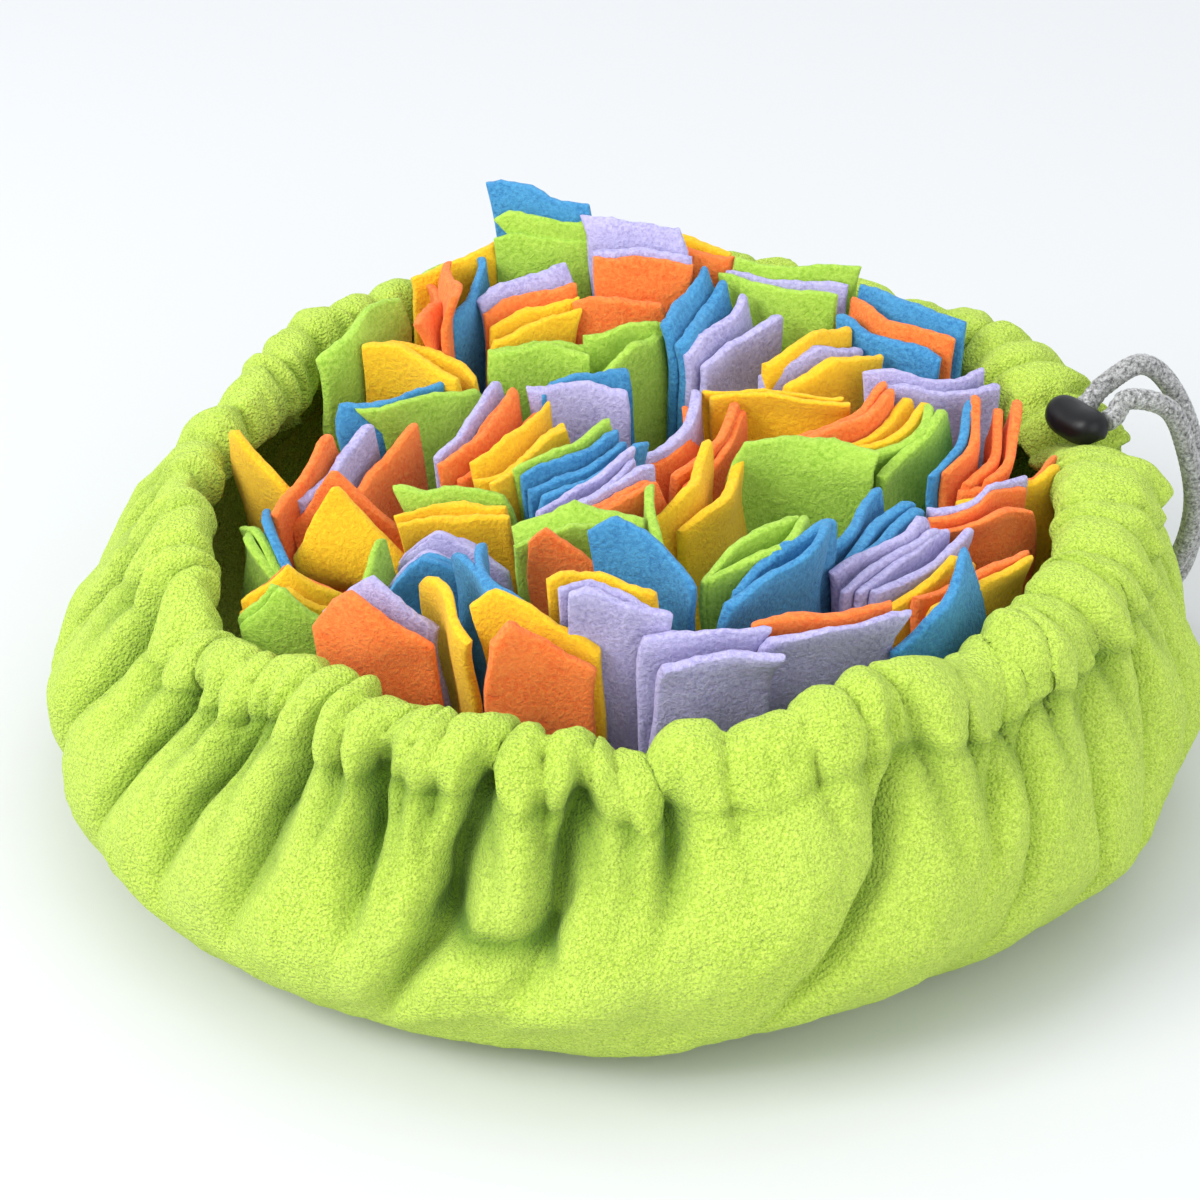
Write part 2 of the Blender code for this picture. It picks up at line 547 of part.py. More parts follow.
def strip_sections(strips, bends, k):
    """The sections of one strip from its root up, as rings of points.

    A level ring has four corners: back left, back right, front right and front left. The top
    ring has the peaks too: back left, back peak, back right and the same along the front."""
    top = strips["top"][k]
    peak = (peak_place(strips["left"][k], strips["right"][k]) - 0.5) * STRIP_WIDTH
    half = STRIP_WIDTH / 2
    turn = strips["tip_heading"][k] - strips["root_heading"][k]
    own = bend_heights(*(strips[side][k:k + 1] for side in ("top", "left", "right")))
    rows = [((-half, half), (height, height)) for height in own[0, :-1]]
    rows.append(((-half, peak, half), (top - strips["left"][k], top, top - strips["right"][k])))
    rings = []
    for places, heights in rows:
        heights = np.array(heights, float)
        weights = bend_weights(own, heights)[0]
        share = (heights - ROOT_TOP) / (top - ROOT_TOP)
        along = unit(strips["root_heading"][k] + turn * share)
        across = np.stack((-along[:, 1], along[:, 0]), -1) * STRIP_THICKNESS / 2
        line = weights @ bends[k] + np.array(places)[:, None] * along
        back = np.column_stack((line + across, heights))
        front = np.column_stack((line - across, heights))
        rings.append(np.vstack((back, front[::-1])))
    return rings


# ---------------------------------------------------------------- meshes
def material(name, colour, roughness):
    """A plain Principled material."""
    made = bpy.data.materials.new(name)
    made.use_nodes = True
    shader = made.node_tree.nodes["Principled BSDF"]
    shader.inputs["Base Color"].default_value = COLOURS[colour]
    shader.inputs["Roughness"].default_value = roughness
    shader.inputs["Metallic"].default_value = 0.0
    return made


def solid(name, points, faces, finishes):
    """An object from points in millimetres and the faces of one closed skin."""
    mesh = bpy.data.meshes.new(name)
    mesh.from_pydata((np.asarray(points) * MM).tolist(), [], faces)
    skin = bmesh.new()
    skin.from_mesh(mesh)
    bmesh.ops.recalc_face_normals(skin, faces=skin.faces)
    skin.to_mesh(mesh)
    skin.free()
    for finish in finishes:
        mesh.materials.append(finish)
    made = bpy.data.objects.new(name, mesh)
    bpy.context.collection.objects.link(made)
    return made


def make_shell(finish):
    """The fleece bowl: rings of quads round its section, closed by its underside and floor."""
    grid = shell_grid()
    rows, columns = grid.shape[:2]
    ring = np.arange(columns)
    after = (ring + 1) % columns
    faces = []
    for row in range(rows - 1):
        low, high = row * columns, (row + 1) * columns
        faces += np.stack((low + ring, low + after, high + after, high + ring), -1).tolist()
    faces.append(ring[::-1].tolist())
    faces.append(((rows - 1) * columns + ring).tolist())
    shell = solid("fleece_shell", grid.reshape(-1, 3), faces, [finish])
    shell.data.shade_smooth()
    return shell


def make_bundle(name, strips, bends, members, finishes):
    """One sewn bundle: its strips rise out of the top of a shared stitched root.

    The root's top is a ladder of strip feet and the gaps between them, so that the whole
    bundle is one closed skin."""
    points, faces, colours = [], [], []
    feet = []
    used = sorted(set(strips["colour"][members]))
    for k in members:
        rings = strip_sections(strips, bends, k)
        starts = len(points) + 4 * np.arange(len(rings))
        for ring in rings:
            points += ring.tolist()
        before = len(faces)
        for low, high in zip(starts[:-2], starts[1:-1]):
            faces += [(low + c, low + (c + 1) % 4, high + (c + 1) % 4, high + c) for c in range(4)]
        low, top = starts[-2:]
        faces.append((low, low + 1, top + 2, top + 1, top))
        faces.append((low + 1, low + 2, top + 3, top + 2))
        faces.append((low + 2, low + 3, top + 5, top + 4, top + 3))
        faces.append((low + 3, low, top, top + 5))
        faces.append((top, top + 1, top + 4, top + 5))
        faces.append((top + 1, top + 2, top + 3, top + 4))
        colours += [used.index(strips["colour"][k])] * (len(faces) - before)
        feet.append(starts[0])
    back, front = feet[0], feet[-1]
    under = len(points) + np.arange(4)
    corners = (back, back + 1, front + 2, front + 3)
    points += [[*points[corner][:2], FLEECE + SEAT_GAP] for corner in corners]
    for behind, ahead in zip(feet[:-1], feet[1:]):
        faces.append((behind + 3, behind + 2, ahead + 1, ahead))
    faces.append((back, back + 1, under[1], under[0]))
    faces.append((front + 2, front + 3, under[3], under[2]))
    faces.append((under[1], *[foot + corner for foot in feet for corner in (1, 2)], under[2]))
    faces.append((under[0], *[foot + corner for foot in feet for corner in (0, 3)], under[3]))
    faces.append(tuple(under))
    faces = [tuple(int(corner) for corner in face) for face in faces]
    bundle = solid(name, points, faces, [finishes[colour] for colour in used])
    bundle.data.polygons.foreach_set("material_index", colours + [0] * (len(faces) - len(colours)))
    return bundle


def lock_frame():
    """Middle of the lock seen from above, and the directions of its long and its short axis."""
    along = unit(LOCK_HEADING)
    return CASING_RADIUS * unit(LOCK_ANGLE), along, np.array((-along[1], along[0]))


def lock_points(rings, sides):
    """The cord lock's surface about its own middle height: a smooth bean with a hollow back
    and a flattened belly."""
    along = np.linspace(-1.0, 1.0, rings)[:, None]
    turn = np.linspace(0.0, 2 * np.pi, sides, endpoint=False)[None, :]
    size = LOCK_END + (1.0 - LOCK_END) * np.sqrt(1.0 - np.abs(along) ** LOCK_BLUNTNESS)
    hollow = 1.0 - LOCK_HOLLOW * np.cos(along * np.pi / 2) ** 2
    up = np.where(np.sin(turn) > 0, np.sin(turn) * hollow, np.maximum(np.sin(turn), -LOCK_BELLY))
    x = along * LOCK_LENGTH / 2 + 0 * turn
    y = np.cos(turn) * LOCK_DEPTH / 2 * size
    z = up * LOCK_HEIGHT / 2 * size
    centre, long_axis, short_axis = lock_frame()
    flat = centre + x[..., None] * long_axis + y[..., None] * short_axis
    return np.concatenate((flat, z[..., None]), -1).reshape(-1, 3)


def lock_lift(shell):
    """The height of the lock's middle that seats its belly just clear of the casing."""
    skin = bmesh.new()
    skin.from_mesh(shell.data)
    surface = BVHTree.FromBMesh(skin)
    skin.free()
    down = Vector((0.0, 0.0, -1.0))
    lifts = []
    for x, y, z in lock_points(4 * LOCK_RINGS, 3 * LOCK_SIDES) * MM:
        hit = surface.ray_cast(Vector((x, y, 1.0)), down)[0]
        lifts.append(hit.z - z)
    return max(lifts) / MM + SEAT_GAP


def make_lock(lift, finish):
    """The cord lock: rings of quads round its long axis, closed at both ends."""
    points = lock_points(LOCK_RINGS, LOCK_SIDES) + np.array((0.0, 0.0, lift))
    side = np.arange(LOCK_SIDES)
    after = (side + 1) % LOCK_SIDES
    faces = [side.tolist(), (side + (LOCK_RINGS - 1) * LOCK_SIDES).tolist()]
    for low in LOCK_SIDES * np.arange(LOCK_RINGS - 1):
        high = low + LOCK_SIDES
        faces += np.stack((low + side, low + after, high + after, high + side), -1).tolist()
    lock = solid("cord_lock", points, faces, [finish])
    lock.data.shade_smooth()


def make_cord(lift, finish):
    """The cord: a round tube along a smooth curve from one hole of the lock to the other."""
    centre, long_axis, short_axis = lock_frame()
    start = LOCK_DEPTH / 2 + CORD_END_GAP
    ends = [[(*(centre + side * LOCK_HOLES / 2 * long_axis + (start + out) * short_axis), lift + climb)
             for out, climb in CORD_LEAD] for side in (-1, 1)]
    route = ends[0] + list(CORD_ROUTE) + ends[1][::-1]
    line = through(route, np.linspace(0.0, len(route) - 1, CORD_POINTS), False) * MM
    curve = bpy.data.curves.new("drawcord", "CURVE")
    curve.dimensions = "3D"
    spline = curve.splines.new("POLY")
    spline.points.add(len(line) - 1)
    spline.points.foreach_set("co", np.column_stack((line, np.ones(len(line)))).ravel())
    curve.bevel_depth = CORD_DIAMETER / 2 * MM
    curve.bevel_resolution = 2
    curve.use_fill_caps = True
    curve.materials.append(finish)
    cord = bpy.data.objects.new("drawcord", curve)
    bpy.context.collection.objects.link(cord)


def clear_scene():
    """Leaves no object from before."""
    for old in list(bpy.data.objects):
        bpy.data.objects.remove(old, do_unlink=True)


def build():
    clear_scene()
    finishes = {key: material("fleece_" + key, key, 0.9) for key in ("lime", "g", "o", "y", "b", "p")}
    shell = make_shell(finishes["lime"])

    bundles = table(BUNDLES, BUNDLE_COLUMNS)
    strips = strip_list(bundles, settle_roots(bundles))
    bends = settle_strips(strips)
    for k, name in enumerate(bundles["name"]):
        make_bundle("strips_" + name, strips, bends, np.flatnonzero(strips["bundle"] == k), finishes)

    lift = lock_lift(shell)
    make_lock(lift, material("lock_black", "black", 0.35))
    make_cord(lift, material("cord_grey", "grey", 0.85))


if __name__ == "__main__":
    build()
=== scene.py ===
# The looks of a snuffle mat: a disc of lime fleece drawn up by a cord into a low bowl, its base
# sewn full of fleece strips. Sizes are millimetres and degrees, and meshes are put in as metres.
import math

import bpy
import numpy as np
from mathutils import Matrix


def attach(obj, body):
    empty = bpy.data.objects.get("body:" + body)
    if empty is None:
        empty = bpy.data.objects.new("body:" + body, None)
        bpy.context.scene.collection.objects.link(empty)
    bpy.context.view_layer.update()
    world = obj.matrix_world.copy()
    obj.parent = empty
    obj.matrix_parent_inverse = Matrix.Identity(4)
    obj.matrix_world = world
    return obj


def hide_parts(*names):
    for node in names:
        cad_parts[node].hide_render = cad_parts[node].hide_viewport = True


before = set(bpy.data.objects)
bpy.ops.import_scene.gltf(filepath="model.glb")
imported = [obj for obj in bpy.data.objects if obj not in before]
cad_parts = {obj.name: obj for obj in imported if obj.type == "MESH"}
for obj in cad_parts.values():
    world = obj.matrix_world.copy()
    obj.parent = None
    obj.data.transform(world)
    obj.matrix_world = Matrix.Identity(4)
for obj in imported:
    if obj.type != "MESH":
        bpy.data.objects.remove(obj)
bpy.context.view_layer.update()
MM = 0.001

# ---------------------------------------------------------------- camera
# The photograph looks down on the mat from its front, from less than a metre away and with a
# long lens. The places of the camera and of the lamps are in metres.
ELEVATION = math.radians(31.5)
DISTANCE = 0.84
AIM = (-0.0086, 0.0, 0.046)
camera = bpy.data.objects.new("camera", bpy.data.cameras.new("camera"))
camera.data.sensor_width = 36.0
camera.data.lens = 91.8
camera.location = (AIM[0], AIM[1] - DISTANCE * math.cos(ELEVATION),
                   AIM[2] + DISTANCE * math.sin(ELEVATION))
camera.rotation_euler = (math.pi / 2 - ELEVATION, 0.0, 0.0)
bpy.context.collection.objects.link(camera)
bpy.context.scene.camera = camera

# ---------------------------------------------------------------- fleece bowl
# One disc of thick lime fleece with a knobbly pile on both sides. Its edge is turned in and
# stitched down as a casing for the cord, which gathers it into ruffles and deep wall creases.
SEAM_HEIGHT = 72.0                    # the stitches that hold the casing down
CREST_HEIGHT = 88.0
CASING_RADIUS = 125.0                 # the middle of the casing's roll
PROFILE = np.array((             # radius, height, share of a wall crease and of a casing ruffle
    (16.0, 0.0, 0.00, 0.0), (60.0, 0.0, 0.00, 0.0), (118.0, 0.0, 0.00, 0.0),
    (136.0, 2.6, 0.05, 0.0), (149.0, 10.5, 0.20, 0.0),
    (156.5, 22.0, 0.50, 0.0), (157.5, 35.5, 0.80, 0.0), (153.0, 49.0, 1.00, 0.0),
    (145.8, 61.0, 1.00, 0.2), (139.6, 68.5, 0.90, 0.5), (136.6, 72.0, 0.75, 0.7),
    (134.6, 77.0, 0.50, 0.9), (131.8, 83.5, 0.25, 1.0), (127.0, 87.6, 0.15, 1.0),
    (121.0, 88.0, 0.15, 1.0), (117.0, 83.0, 0.15, 1.0), (117.0, 75.5, 0.15, 1.0),
    (122.5, 71.0, 0.40, 0.3), (139.0, 60.5, 1.00, 0.0), (150.0, 46.0, 1.00, 0.0),
    (153.0, 33.0, 0.75, 0.0), (149.0, 18.0, 0.40, 0.0), (133.0, 5.6, 0.05, 0.0),
    (112.0, 3.0, 0.00, 0.0), (60.0, 3.0, 0.00, 0.0), (16.0, 3.0, 0.00, 0.0)))
ROWS_BETWEEN = (1, 1, 3, 4, 6, 8, 9, 9, 8, 6, 6, 7, 7, 7, 7, 6, 5, 5, 4, 3, 3, 3, 3, 1, 1)
BOWL_COLUMNS = 790
FEWEST_COLUMNS = 14                   # from one wall crease to the next
# Wall creases: where each starts under the casing, its drift on the way down, its depth, the
# share of the wall it runs down, how much steeper its right side is, how far the cloth on its
# left laps over it, and how far both sides close over its bottom.
ANGLE, DRIFT, DEPTH, REACH, SKEW, LAP, CLOSING = range(7)
CREASES = np.array((
    (-184.0, -3.0, 9.0, 0.75, 0.0, 0.0, 1.5), (-171.0, -4.0, 8.5, 0.80, 0.2, 0.0, 1.0),
    (-158.0, -6.0, 9.5, 0.85, 0.0, 0.0, 1.5), (-145.0, -8.0, 9.0, 0.80, 0.2, 1.0, 1.0),
    (-134.0, -7.0, 9.5, 0.75, 0.0, 0.0, 1.5), (-125.5, -6.0, 9.0, 0.70, -0.2, 0.0, 1.5),
    (-116.0, -3.0, 12.0, 0.50, -0.3, -1.0, 1.5), (-105.2, -10.0, 16.0, 0.88, 0.8, -1.0, 1.0),
    (-95.6, -9.0, 16.0, 0.58, -0.8, -1.0, 1.0), (-86.7, -3.0, 10.0, 0.32, -0.8, -1.0, 1.0),
    (-62.0, -22.0, 7.5, 0.85, 0.2, 0.0, 0.0), (-50.5, -16.0, 5.0, 0.30, 0.0, 0.0, 1.0),
    (-45.0, -14.0, 8.0, 0.85, 0.7, 5.0, 0.0), (-34.0, -13.0, 8.0, 0.90, 0.7, 5.0, 0.0),
    (-24.0, -12.0, 8.0, 0.90, 0.6, 5.0, 0.0), (-13.0, -10.0, 7.0, 0.85, 0.5, 3.5, 0.0),
    (-1.0, -7.0, 7.0, 0.80, 0.3, 1.0, 1.0), (12.0, -5.0, 8.0, 0.70, 0.0, 0.0, 1.5),
    (25.0, -3.0, 7.0, 0.80, 0.0, 0.0, 1.5), (38.0, 3.0, 7.5, 0.75, -0.3, -2.0, 1.0),
    (51.0, 5.0, 7.0, 0.85, 0.0, 0.0, 1.5), (65.0, 6.0, 8.0, 0.80, 0.2, 0.0, 1.5),
    (79.0, 4.0, 7.0, 0.70, 0.0, 0.0, 1.5), (92.0, -4.0, 8.0, 0.85, 0.3, 2.0, 1.0),
    (106.0, -6.0, 7.0, 0.80, 0.0, 0.0, 1.5), (121.0, -3.0, 6.0, 0.70, -0.2, 0.0, 1.5),
    (136.0, 4.0, 7.0, 0.80, 0.0, 0.0, 1.5), (150.0, 5.0, 6.0, 0.75, 0.2, 1.0, 1.0),
    (163.0, 2.0, 7.0, 0.80, 0.0, 0.0, 1.5)))
# A crease is a broad hollow with a slot along its line: the share of the depth and the power of
# each, and the slot's half width with what a millimetre of depth adds to it.
BROAD_SHARE, BROAD_POWER = 0.42, 2.8
SLOT_SHARE, SLOT_POWER = 0.88, 1.7
SLOT_WIDTH, SLOT_GROWTH = 2.7, 0.06
FULL_PAINTED_SHADE_DEPTH = 13.0                     # a crease this deep gets the full painted shade in its pile colour
# A lap also draws back the cloth on the crease's right and the crease itself, and lifts its own
# lip outwards, each by a share of how far it laps over.
LIP_WIDTH, LAP_BACK, LAP_LINE, LAP_LIFT = 5.0, 0.35, 0.3, 0.25
CLOSE_SHARE = 0.2                     # share of its closing that each side of a crease slides
# Between two creases the cloth puffs out by a share of their distance, more towards the seam.
PUFF_LOW, PUFF_MORE = 0.05, 0.04
# Gathers of the casing on the cord: where each starts at the seam, how far it leans on its way
# over the casing, and how far the ruffle on its left laps over the next one.
GATHERS = np.array((
    (-176.0, 2.0, 0.0), (-169.0, -2.0, 0.5), (-163.5, 3.0, 0.0), (-157.0, -3.0, 0.5),
    (-151.0, 2.0, 0.0), (-146.5, -1.0, 1.0), (-141.0, 2.0, 0.0), (-136.5, -2.0, 0.5),
    (-132.0, 2.0, 0.0), (-126.0, 0.0, 0.5), (-121.0, -2.0, 0.0), (-117.0, 1.0, 0.0),
    (-113.5, 2.0, 0.0), (-110.3, -1.0, 0.0), (-104.5, 1.0, 0.5), (-99.0, -1.0, 0.0),
    (-94.6, 1.0, 0.0), (-91.5, -1.0, 0.0), (-87.3, -1.0, 1.0), (-80.5, 2.0, 0.0),
    (-71.0, -2.0, 0.0), (-66.0, -2.0, 0.5), (-60.0, -3.0, 0.0), (-54.5, 3.0, 2.0),
    (-48.0, 4.0, 3.0), (-42.0, 5.0, 3.0), (-37.5, 2.0, 2.0), (-31.5, -2.0, 0.5),
    (-26.0, 2.0, 0.5), (-19.5, -3.0, 0.5), (-14.0, 1.0, 1.0), (-7.5, -2.0, 0.0),
    (-1.5, 2.0, 0.5), (5.0, -2.0, 0.0), (13.0, 2.0, 0.0), (20.0, -2.0, 0.5),
    (25.5, 2.0, 0.0), (31.5, 1.0, 0.0), (38.0, -3.0, 0.5), (44.0, 2.0, 0.0),
    (51.0, -1.0, 0.0), (57.5, 3.0, 0.5), (65.0, -2.0, 0.0), (71.0, 1.0, 0.0),
    (79.0, 2.0, 0.5), (85.0, -3.0, 0.0), (92.0, 2.0, 0.0), (98.5, -1.0, 0.0),
    (106.0, 2.0, 0.5), (112.0, -2.0, 0.0), (121.0, 1.0, 0.0), (127.5, 2.0, 0.0),
    (136.0, -2.0, 0.5), (142.0, 1.0, 0.0), (150.0, 2.0, 0.0), (156.0, -2.0, 0.0),
    (163.0, 1.0, 0.5), (170.0, 2.0, 0.0), (177.5, -1.0, 0.0)))
RUFFLE_LAP = 3.0                      # the cloth beside a gather that laps over it
# A ruffle swells by a least height and a share of its length, up to a most. Its arch is a power
# of half a sine wave, less the level at which it neither swells nor draws in.
RUFFLE_SWELL, RUFFLE_GROWTH, RUFFLE_MOST = 1.0, 0.29, 4.5
RUFFLE_POWER, RUFFLE_LEVEL = 0.42, 0.74
# A short tuck runs down from each gather: its least depth and length, and what is added to them.
TUCK_DEPTH, TUCK_DEEPER = 2.6, 2.4
TUCK_LENGTH, TUCK_LONGER = 9.0, 15.0
TUCK_WIDTH, TUCK_POWER = 3.4, 1.5
SMOOTH_STRETCH, SMOOTHNESS = (-86.0, -62.0), 0.7   # the front right, where tucks hardly show
SEAM_FILL, FILL_HEIGHT = 1.6, 6.0     # the cloth that bulges between two gathers at the seam
STITCH_DEPTH, STITCH_WIDTH = 0.7, 1.8
WRINKLE_REACH, WRINKLE_LENGTH = 1.1, 6.0
# The wall between the two deepest creases goes in at a nearly level groove and above it.
PANEL, PANEL_EDGE, PANEL_TOP, PANEL_DEPTH = (-111.5, -96.0), 3.0, 66.0, 3.0
GROOVE_ANGLE, GROOVE_HEIGHT, GROOVE_SLOPE = -102.0, 44.0, 0.25
GROOVE_DEPTH, GROOVE_WIDTH = 5.5, 3.2
# Painted shade: how much darker the pile colour gets for each millimetre of a tuck, groove or
# wrinkle, and at the seam.
PAINTED_TUCK_SHADE, PAINTED_GROOVE_SHADE, PAINTED_WRINKLE_SHADE, PAINTED_SEAM_SHADE = 0.18, 0.16, 0.12, 0.22
# How the bowl is out of round, every 30 degrees from +X: extra radius at the foot, at the
# bulge and at the casing, half the extra width of the casing, and its extra height.
OUT_OF_ROUND = np.array((
    (0.0, -4.0, 2.0, 6.0, 1.0), (0.0, -1.0, 3.0, 3.0, 3.0), (0.0, 0.0, 0.0, 0.0, 3.0),
    (0.0, 0.0, 0.0, 0.0, 4.0), (-2.0, -3.0, -3.0, 0.0, 6.0), (-3.0, -5.0, -10.0, -1.0, 4.0),
    (0.0, -1.0, -4.0, -1.0, 0.0), (4.0, 2.0, 0.0, 0.0, -1.0), (3.0, 2.0, 0.0, 0.0, -3.0),
    (-3.0, 0.0, 0.0, 0.0, -4.0), (-9.0, -3.5, 0.0, 1.0, 4.0), (-4.0, -3.0, 0.0, 3.0, 1.0)))
SHAPE_LEVELS = (0.0, 34.0, 76.0)      # heights of the foot, the bulge and the casing there
# Where the casing stands higher or lower than that: angle, extra height and half width.
CREST_WAVES = np.array((
    (-148.0, -9.0, 12.0), (-119.0, -2.5, 5.0), (-107.0, 1.0, 8.0), (-89.5, -6.5, 4.0),
    (-77.0, -4.0, 5.0), (-65.0, 3.0, 6.0), (-48.0, -8.0, 5.0), (-36.0, -3.0, 4.0),
    (60.0, 2.0, 9.0), (100.0, -2.0, 7.0), (140.0, 2.0, 8.0), (172.0, -2.0, 6.0)))
# The dip of the casing that the cord lock sits in.
LOCK_ANGLE, LOCK_DIP, LOCK_DIP_WIDTH = 12.0, 9.0, 6.0
# The soft unevenness of the whole cloth: wavelength, reach and seed of each layer of it. It
# grows from nothing at the base to its full reach at the loose height.
BOWL_UNEVENNESS = ((60.0, 1.6, 3), (26.0, 0.7, 4), (11.0, 0.25, 5), (5.5, 0.12, 6))
BOWL_LOOSE_HEIGHT = 15.0


def through(values, place, closed=False):
    """A Catmull-Rom curve through the values, read at places counted in values."""
    values = np.asarray(values, float)
    count = len(values)
    start = np.floor(place).astype(int)
    if not closed:
        start = np.clip(start, 0, count - 2)
    part = place - start
    index = [start + k for k in (-1, 0, 1, 2)]
    a, b, c, d = (values[i % count if closed else np.clip(i, 0, count - 1)] for i in index)
    if values.ndim > 1:
        part = part[..., None]
    return 0.5 * (2 * b + (c - a) * part + (2 * a - 5 * b + 4 * c - d) * part ** 2
                  + (3 * b - a - 3 * c + d) * part ** 3)


def smooth_step(x):
    """Rises from 0 to 1 as x goes from 0 to 1, level at both ends."""
    x = np.clip(x, 0.0, 1.0)
    return x * x * (3.0 - 2.0 * x)


def bell(x, power=2):
    """1 at x = 0, and falling off on both sides as e to the minus x to a power."""
    return np.exp(-np.abs(x) ** power)


def between(x, limits, soft):
    """1 between two limits and 0 outside them, rising and falling over a soft width inside."""
    return smooth_step((x - limits[0]) / soft) * smooth_step((limits[1] - x) / soft)


def from_angle(angle, middle):
    """Degrees from a middle angle, the short way round."""
    return (angle - middle + 180.0) % 360.0 - 180.0


def spread(count, step, start=0.0):
    """A share from 0 to 1 for each count that jumps about: the fraction of count times step."""
    return np.modf(count * step + start)[0]


def unevenness(points, wavelength, seed):
    """A smooth random push for each point: sixteen sine waves through space, in all directions."""
    pick = np.random.RandomState(seed)
    waves = pick.normal(size=(3, 16))
    waves *= 2 * np.pi / wavelength * pick.uniform(0.7, 1.4, 16) / np.linalg.norm(waves, axis=0)
    phase = pick.uniform(0, 2 * np.pi, 16)
    return np.sin(points @ waves + phase) @ pick.normal(size=(16, 3)) / 4.0


def crease_form(reach, down):
    """How fully a crease shows down the wall: three quarters at the seam, nearly all a fifth of
    the way down, and falling as a parabola to nothing at its reach."""
    fading = np.clip(1.0 - (down / reach) ** 2, 0.0, 1.0)
    return fading * (0.75 + 0.25 * smooth_step(down / 0.2))


def crease_side(crease, form, nearness, steepness, distance):
    """How far the cloth on one side of a crease lies inwards, and the painted shade of its pile
    colour.

    The broad hollow is a power of the nearness, which is 1 in the crease and 0 at the next one,
    and a steepness of 1 doubles that power. The slot and the painted shade are bells of the
    distance."""
    slot = SLOT_WIDTH + SLOT_GROWTH * crease[..., DEPTH]
    broad = BROAD_SHARE * nearness ** (BROAD_POWER * 2.0 ** steepness)
    inwards = crease[..., DEPTH] * form * (broad + SLOT_SHARE * bell(distance / slot, SLOT_POWER))
    painted_shade = form * np.minimum(crease[..., DEPTH] / FULL_PAINTED_SHADE_DEPTH, 1.0) * bell(distance / slot)
    return inwards, painted_shade


def wall_creases(fold, part, radius, height):
    """Angle of a point, how far the creases beside it move it in and round, and their painted
    shade.

    fold counts the creases and part is the way to the next. A crease is straight in angle and
    height. Beside it the cloth slides round as a bell of the distance, so that its left side laps
    over it or both sides close above it, while the line in the crease only follows the lap.
    Between two creases the cloth puffs out as half a sine wave of their distance."""
    here, after = CREASES[fold], CREASES[(fold + 1) % len(CREASES)]
    down = np.clip(1.0 - height / SEAM_HEIGHT, 0.0, 1.0)
    angle_here = here[..., ANGLE] + here[..., DRIFT] * down
    full_turn = 360.0 * (fold + 1 >= len(CREASES))
    angle_after = after[..., ANGLE] + after[..., DRIFT] * down + full_turn
    angle = angle_here + (angle_after - angle_here) * part
    width = np.radians(angle_after - angle_here) * radius
    left, right = np.abs(width * part), np.abs(width * (1.0 - part))
    form_here = crease_form(here[..., REACH], down)
    form_after = crease_form(after[..., REACH], down)
    inwards_here, painted_shade_here = crease_side(here, form_here, 1.0 - part, here[..., SKEW], left)
    inwards_after, painted_shade_after = crease_side(after, form_after, part, -after[..., SKEW], right)
    slide_here = form_here * (LAP_BACK * here[..., LAP] + CLOSE_SHARE * here[..., CLOSING])
    slide_after = form_after * (after[..., LAP] + CLOSE_SHARE * after[..., CLOSING])
    slide = slide_after * bell(right / LIP_WIDTH) - slide_here * bell(left / LIP_WIDTH)
    lip = form_after * np.abs(after[..., LAP]) * LAP_LIFT * bell(right / LIP_WIDTH)
    in_line = part == 0.0
    slide = np.where(in_line, LAP_LINE * form_here * here[..., LAP], slide)
    inwards = inwards_here + inwards_after - np.where(in_line, 0.0, lip)
    puff = (PUFF_LOW + PUFF_MORE * (1.0 - down)) * width * np.sin(np.pi * part)
    return angle, inwards - puff, slide, painted_shade_here + painted_shade_after


def casing_ruffles(angle, radius, height):
    """How far the gathers swell the casing, slide it round, tuck the wall in and fill it out.

    A ruffle arches from gather to gather as a blunt half sine wave, higher the longer it is, and
    its end laps over the next one as a bell. Below the seam a tuck runs down from each gather, a
    bell both of the distance from it and of the way down, and between two of them the cloth
    fills out."""
    starts, leans, laps = GATHERS.T
    over = np.clip((CASING_RADIUS + 9.0 - radius) / 18.0, 0.0, 1.0) * (height > SEAM_HEIGHT - 2.0)
    lean = through(leans, np.interp(angle, starts, np.arange(len(starts))), True)
    place = (angle - lean * over + 183.0) % 360.0 - 183.0
    ends = np.append(starts, starts[0] + 360.0)
    index = np.clip(np.searchsorted(ends, place, side="right") - 1, 0, len(starts) - 1)
    gap = ends[index + 1] - ends[index]
    way = np.clip((place - ends[index]) / gap, 0.0, 1.0)
    length = np.radians(gap) * CASING_RADIUS
    tallness = np.minimum(RUFFLE_SWELL + RUFFLE_GROWTH * length, RUFFLE_MOST)
    tallness = tallness * (0.75 + 0.5 * spread(index, 0.618, 0.3))
    swell = tallness * (np.sin(np.pi * way) ** RUFFLE_POWER - RUFFLE_LEVEL)
    slide = (laps[(index + 1) % len(laps)] * bell((1.0 - way) * length / RUFFLE_LAP)
             - 0.4 * laps[index] * bell(way * length / RUFFLE_LAP))

    outside = radius > CASING_RADIUS
    below = np.where(outside, np.clip(SEAM_HEIGHT + 1.0 - height, 0.0, None), 60.0)
    run = TUCK_LENGTH + TUCK_LONGER * spread(index, 0.618)
    nearest = np.minimum(way, 1.0 - way) * length
    tuck = TUCK_DEPTH + TUCK_DEEPER * spread(index, 0.381)
    tuck = tuck * bell(nearest / TUCK_WIDTH, TUCK_POWER) * bell(below / run)
    tuck = tuck * np.interp(height, (SEAM_HEIGHT, SEAM_HEIGHT + 8.0), (1.0, 0.0))
    tuck = tuck * (1.0 - SMOOTHNESS * between(angle, SMOOTH_STRETCH, 3.0))
    fill = SEAM_FILL * bell((height - SEAM_HEIGHT) / FILL_HEIGHT) * np.sin(np.pi * way) ** 0.6
    return swell, slide, tuck, fill * outside


